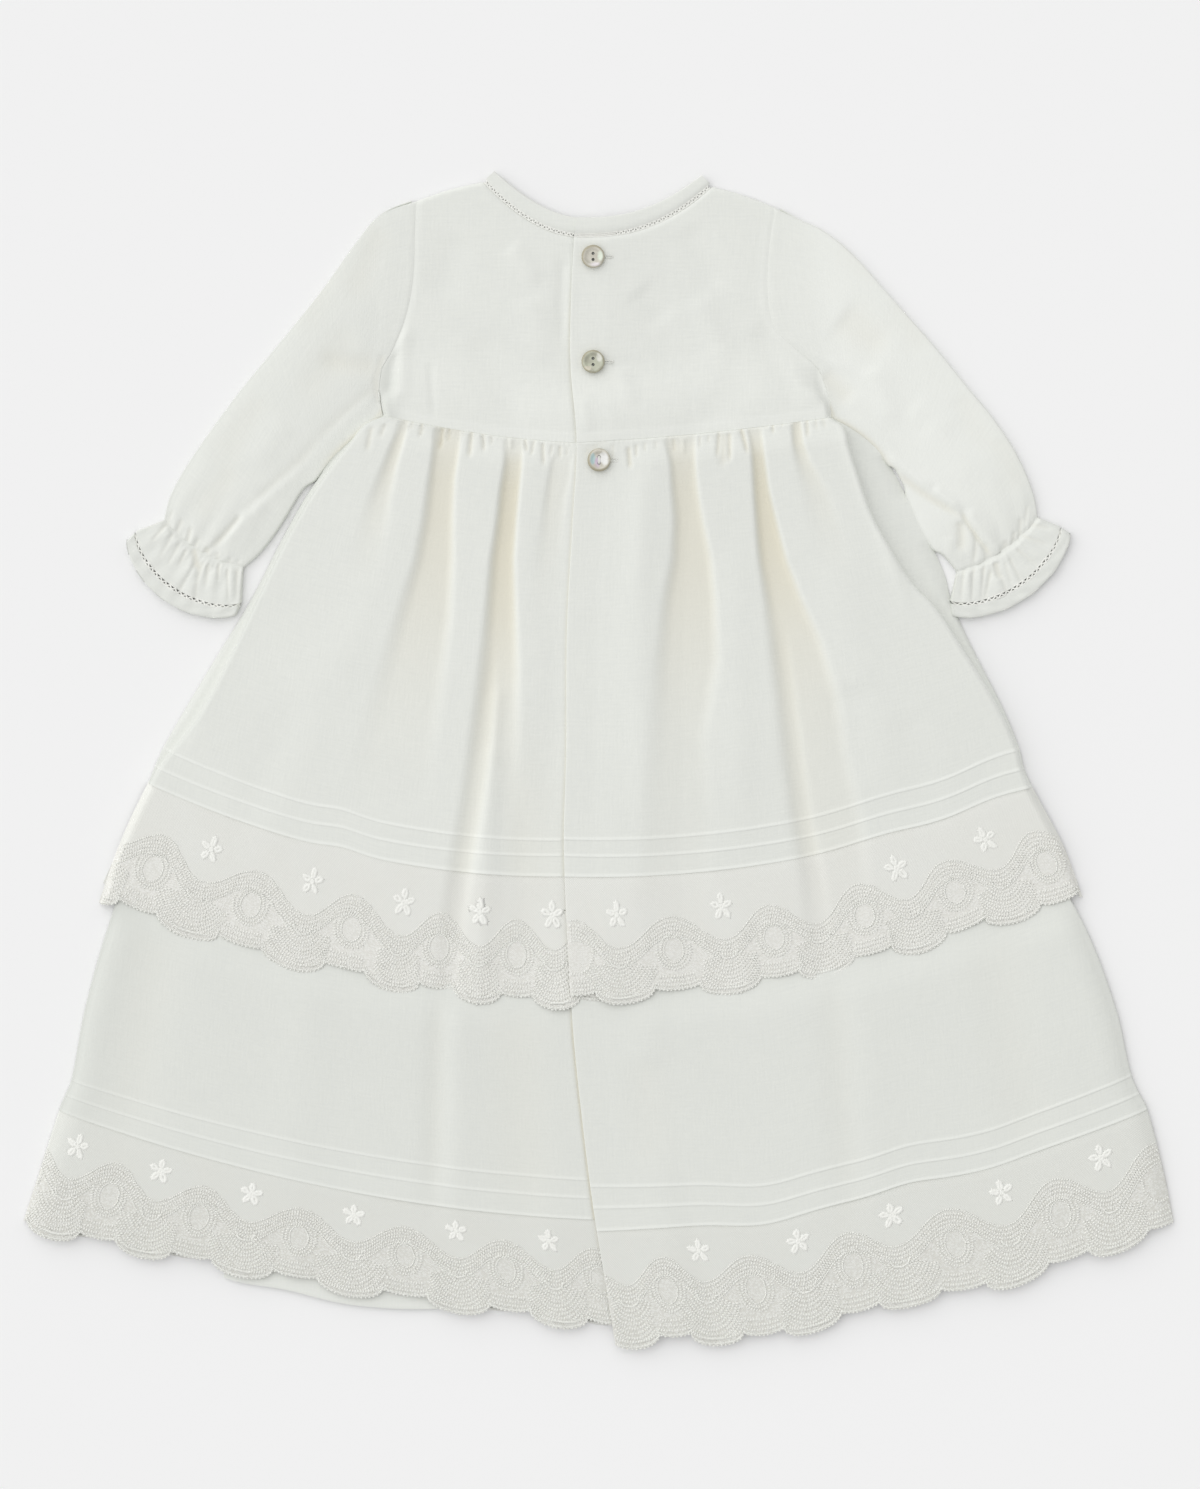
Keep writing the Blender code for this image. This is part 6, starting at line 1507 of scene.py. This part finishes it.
def neckOpenwork():
    # a zigzag between two rails, round the neck; it is sewn close where the backs overlap
    zigzags, rails = [], []

    def course(part, xs, off):
        lift = 0.96 if part == "front" else 0.45
        return grid(*besideNeck(xs, off, part == "front"), neckRests[part](xs) + lift), straightUp, False

    ends = {"left": (neck["leftX"] + 0.6, neckSplit + 0.3), "right": (neckSplit + 22.0, neck["rightX"] - 0.6),
            "front": (neck["leftX"] + 2.0, neck["rightX"] - 2.0)}
    for part, (low, high) in ends.items():
        xs = evenSteps(np.linspace(low, high, 200), part == "front", 1.3)
        zigzags.append(course(part, xs, np.where(np.arange(len(xs)) % 2, 0.05, 1.95)))
        rails += [course(part, xs, off) for off in (0.15, 1.8)]
    short = evenSteps(np.linspace(neckSplit + 0.4, neckSplit + 22.0, 40), False, 0.8)
    filled = [course("right", short, off) for off in (0.25, 1.0, 1.75)]
    threadPiece("neckOpenwork", [sewStitches(zigzags, sewing["zigzag"], 0.08),
                                 sewStitches(rails, sewing["rail"], 0.08),
                                 sewStitches(filled, sewing["rail"], 0.1)])


def cuffOpenwork(side, table):
    share = np.linspace(0.01, 0.99, 42)

    def course(t):
        x, y, _ = acrossLine(cuffLine(table, t), share, 0.75)
        lift = softFloor(cuffWave(share, cuff["lift"]) + 0.75 * creaseLift(cuffCreases, x, y) + 0.5)
        z = wall["ply"] + wall["solid"] + 0.1 + lift * np.minimum(1.0, 8 * share * (1 - share))
        return grid(x, y, z), straightUp, False

    zigzags = [course(np.where(np.arange(42) % 2, 1.0, 1.17))]
    rails = [course(t) for t in (0.98, 1.19)]
    threadPiece("cuffOpenwork" + side, [sewStitches(zigzags, sewing["cuff"], 0.08),
                                        sewStitches(rails, sewing["rail"], 0.08)])


button = {"radius": 6.0, "thick": 2.2, "hole": 0.75, "pitch": 3.2}
buttons = [
    {"node": "button_top", "x": -2.9, "y": 261.6, "z": 4.8, "rimTowards": (-0.5, 0.8), "tie": False,
     "glints": [(3.6, 0.4, 1.5, 2.4, (0.74, 0.80, 0.68)), (0.8, -4.0, 2.6, 1.1, (0.78, 0.73, 0.74))]},
    {"node": "button_middle", "x": -2.9, "y": 207.0, "z": 5.2, "rimTowards": (0.0, 0.4), "tie": False,
     "face": (0.43, 0.43, 0.34), "light": (0.56, 0.58, 0.45),
     "glints": [(3.4, 2.4, 1.6, 2.8, (0.74, 0.74, 0.66)), (-2.8, -3.4, 2.2, 1.2, (0.70, 0.66, 0.54))]},
    {"node": "button_waist", "x": 0.2, "y": 155.5, "z": 9.8, "rimTowards": (-0.9, -0.9), "tie": True,
     "glints": [(-3.2, 0.6, 1.5, 3.2, (0.50, 0.66, 0.66)), (-0.6, -1.0, 1.7, 3.2, (0.60, 0.50, 0.60)),
                (2.6, 0.8, 2.2, 3.6, (0.84, 0.84, 0.82))]},
]


def buttonholes():
    paths = []
    for row in buttons:
        x0, x1, half = row["x"] - 5.0, row["x"] + 9.6, 0.6
        turn = np.linspace(-math.pi / 2, math.pi / 2, 6)
        right = grid(x1 + half * np.cos(turn), row["y"] + half * np.sin(turn), row["z"] - 0.25)
        left = grid(x0 - half * np.cos(turn), row["y"] - half * np.sin(turn), row["z"] - 0.25)
        paths.append((np.concatenate([right, left]), straightUp, True))
    threadPiece("buttonholeStitches", [sewStitches(paths, sewing["hole"], 0.1)])


neckOpenwork()
cuffOpenwork("Left", cuffLeft)
cuffOpenwork("Right", cuffRight)
buttonholes()


# hole: painted shade inside the drilled holes
pearlLook = {"face": (0.53, 0.505, 0.425), "light": (0.68, 0.655, 0.57), "rim": (0.36, 0.325, 0.22),
             "hole": (0.035, 0.026, 0.016), "swirl": 260.0}


def pearlMaterial(name, row):
    # cloudy shell with a few glints laid on it, a dark rim, and painted shade in its holes; lengths in mm
    # from its middle
    look = {**pearlLook, **row}
    made, graph, sockets = newMaterial(name, 0.24, specular=0.5, coat=0.4)
    place = graph.coordinates("Object")
    x, y, _ = graph.split(place)
    east, north = x * 1000.0 - row["x"], y * 1000.0 - row["y"]
    drift = graph.noise(place, 330.0) - 0.5
    swirl = graph.noise(place, look["swirl"], 3.0)
    color = graph.blend(graph.limit(swirl * 3.0 - 1.1), look["face"], look["light"])
    for glintX, glintY, wide, tall, tone in row["glints"]:
        alongX, alongY = east - glintX, north - glintY
        away = alongX * alongX * wide ** -2 + alongY * alongY * tall ** -2
        color = graph.blend(graph.limit(1.35 - away + drift * 2.4), color, tone)
    radius = (east * east + north * north) ** 0.5
    lean = (east * row["rimTowards"][0] + north * row["rimTowards"][1]) * 0.1
    color = graph.blend(graph.limit((radius - 4.85 + lean + drift) * 1.1) * 0.85, color, look["rim"])
    for side in (-0.5, 0.5):
        step = north - side * button["pitch"]
        # painted shade in and around each drilled hole
        holeShade = graph.limit((button["hole"] + 0.12 - (east * east + step * step) ** 0.5) * 8.0)
        color = graph.blend(holeShade, color, look["hole"])
    (0.18 + swirl * 0.2).wireTo(sockets["Roughness"])
    dress(graph, sockets, color, swirl, 0.2, 0.15)
    return made


def shellButton(row):
    which = row["node"].split("_")[1].title()
    half, radius = button["thick"] / 2, button["radius"]
    profile = [(0.0, 0.30), (0.45, 0.30), (0.60, 0.38), (0.68, 0.80), (0.76, 0.98), (0.86, 0.96),
               (0.96, 0.72), (1.0, 0.35), (0.97, -0.2), (0.86, -1.0), (0.0, -1.0)]
    mesh = bpy.data.meshes.new(row["node"])
    mesh.from_pydata([(radius * r * mm, 0.0, half * h * mm) for r, h in profile],
                     [(k, k + 1) for k in range(len(profile) - 1)], [])
    disc = addObject("shellDisc", mesh)
    turn = disc.modifiers.new("turned", "SCREW")
    turn.steps = turn.render_steps = 56
    turn.use_merge_vertices = turn.use_normal_calculate = True
    turn.merge_threshold = 0.00001
    drills = []
    for offset in (-0.5, 0.5):
        bpy.ops.mesh.primitive_cylinder_add(vertices=20, radius=button["hole"] * mm, depth=8 * mm,
                                            location=(0.0, offset * button["pitch"] * mm, 0.0))
        drill = bpy.context.object
        cut = disc.modifiers.new("drilled", "BOOLEAN")
        cut.operation, cut.object = "DIFFERENCE", drill
        drills.append(drill)
    solid = bpy.data.meshes.new_from_object(disc.evaluated_get(bpy.context.evaluated_depsgraph_get()))
    for old in [disc, *drills]:
        bpy.data.objects.remove(old)
    points = np.empty(len(solid.vertices) * 3, np.float32)
    solid.vertices.foreach_get("co", points)
    shift = np.array([row["x"], row["y"], row["z"] + half]) * mm
    solid.vertices.foreach_set("co", (points.reshape(-1, 3) + shift).astype(np.float32).reshape(-1))
    solid.update()
    solid.materials.clear()
    solid.materials.append(pearlMaterial("motherOfPearl" + row["node"].split("_")[1].title(), row))
    solid.polygons.foreach_set("use_smooth", [True] * len(solid.polygons))
    solid.set_sharp_from_angle(angle=math.radians(45.0))
    placePiece(addObject("shell" + which + "Button", solid), row["node"])
    if not row["tie"]:
        return
    ys = np.linspace(-button["pitch"] / 2, button["pitch"] / 2, 7)
    height = row["z"] + half * 1.32 + 0.16 - 0.1 * (ys / 1.6) ** 4
    bars = [(grid(row["x"] + off, row["y"] + ys, height), straightUp, False) for off in (-0.36, 0.0, 0.34)]
    threadPiece("buttonThread" + which, [sewStitches(bars, sewing["bar"], 0.05)])


for row in buttons:
    shellButton(row)
print("buttons and sewing ready")


studio = {"floor": (0.93, 0.93, 0.93), "sky": 0.60, "sun": 1.70, "sunSize": 105.0,
          "sunFrom": (-0.68, 0.46, 0.66), "frameHeight": 774.3, "centre": (0.7, 8.1, 4.0), "lens": 85.0}


def studioSet():
    bpy.ops.mesh.primitive_plane_add(size=12.0, location=(0.0, 0.0, -0.0002))
    floor = bpy.context.object
    floor.name = "studioFloor"
    made, _, sockets = newMaterial("paleFloor", 0.9, specular=0.1)
    sockets["Base Color"].default_value = (*studio["floor"], 1.0)
    floor.data.materials.append(made)
    world = bpy.data.worlds.new("softRoom")
    world.use_nodes = True
    sky = world.node_tree.nodes["Background"]
    sky.inputs["Color"].default_value = (1.0, 1.0, 1.0, 1.0)
    sky.inputs["Strength"].default_value = studio["sky"]
    bpy.context.scene.world = world
    lamp = bpy.data.lights.new("largeSoftLight", "SUN")
    lamp.energy, lamp.angle = studio["sun"], math.radians(studio["sunSize"])
    sun = addObject("largeSoftLight", lamp)
    sun.rotation_euler = Vector(studio["sunFrom"]).to_track_quat("Z", "Y").to_euler()
    seen = bpy.data.cameras.new("overheadCamera")
    seen.lens, seen.sensor_width = studio["lens"], 36.0
    seen.clip_start, seen.clip_end = 0.05, 20.0
    camera = addObject("overheadCamera", seen)
    x, y, z = studio["centre"]
    distance = studio["frameHeight"] * studio["lens"] / 36.0
    camera.location = (x * mm, y * mm, (z + distance) * mm)
    bpy.context.scene.camera = camera
    bpy.context.scene.view_settings.view_transform = "Standard"


studioSet()
print("studio ready")
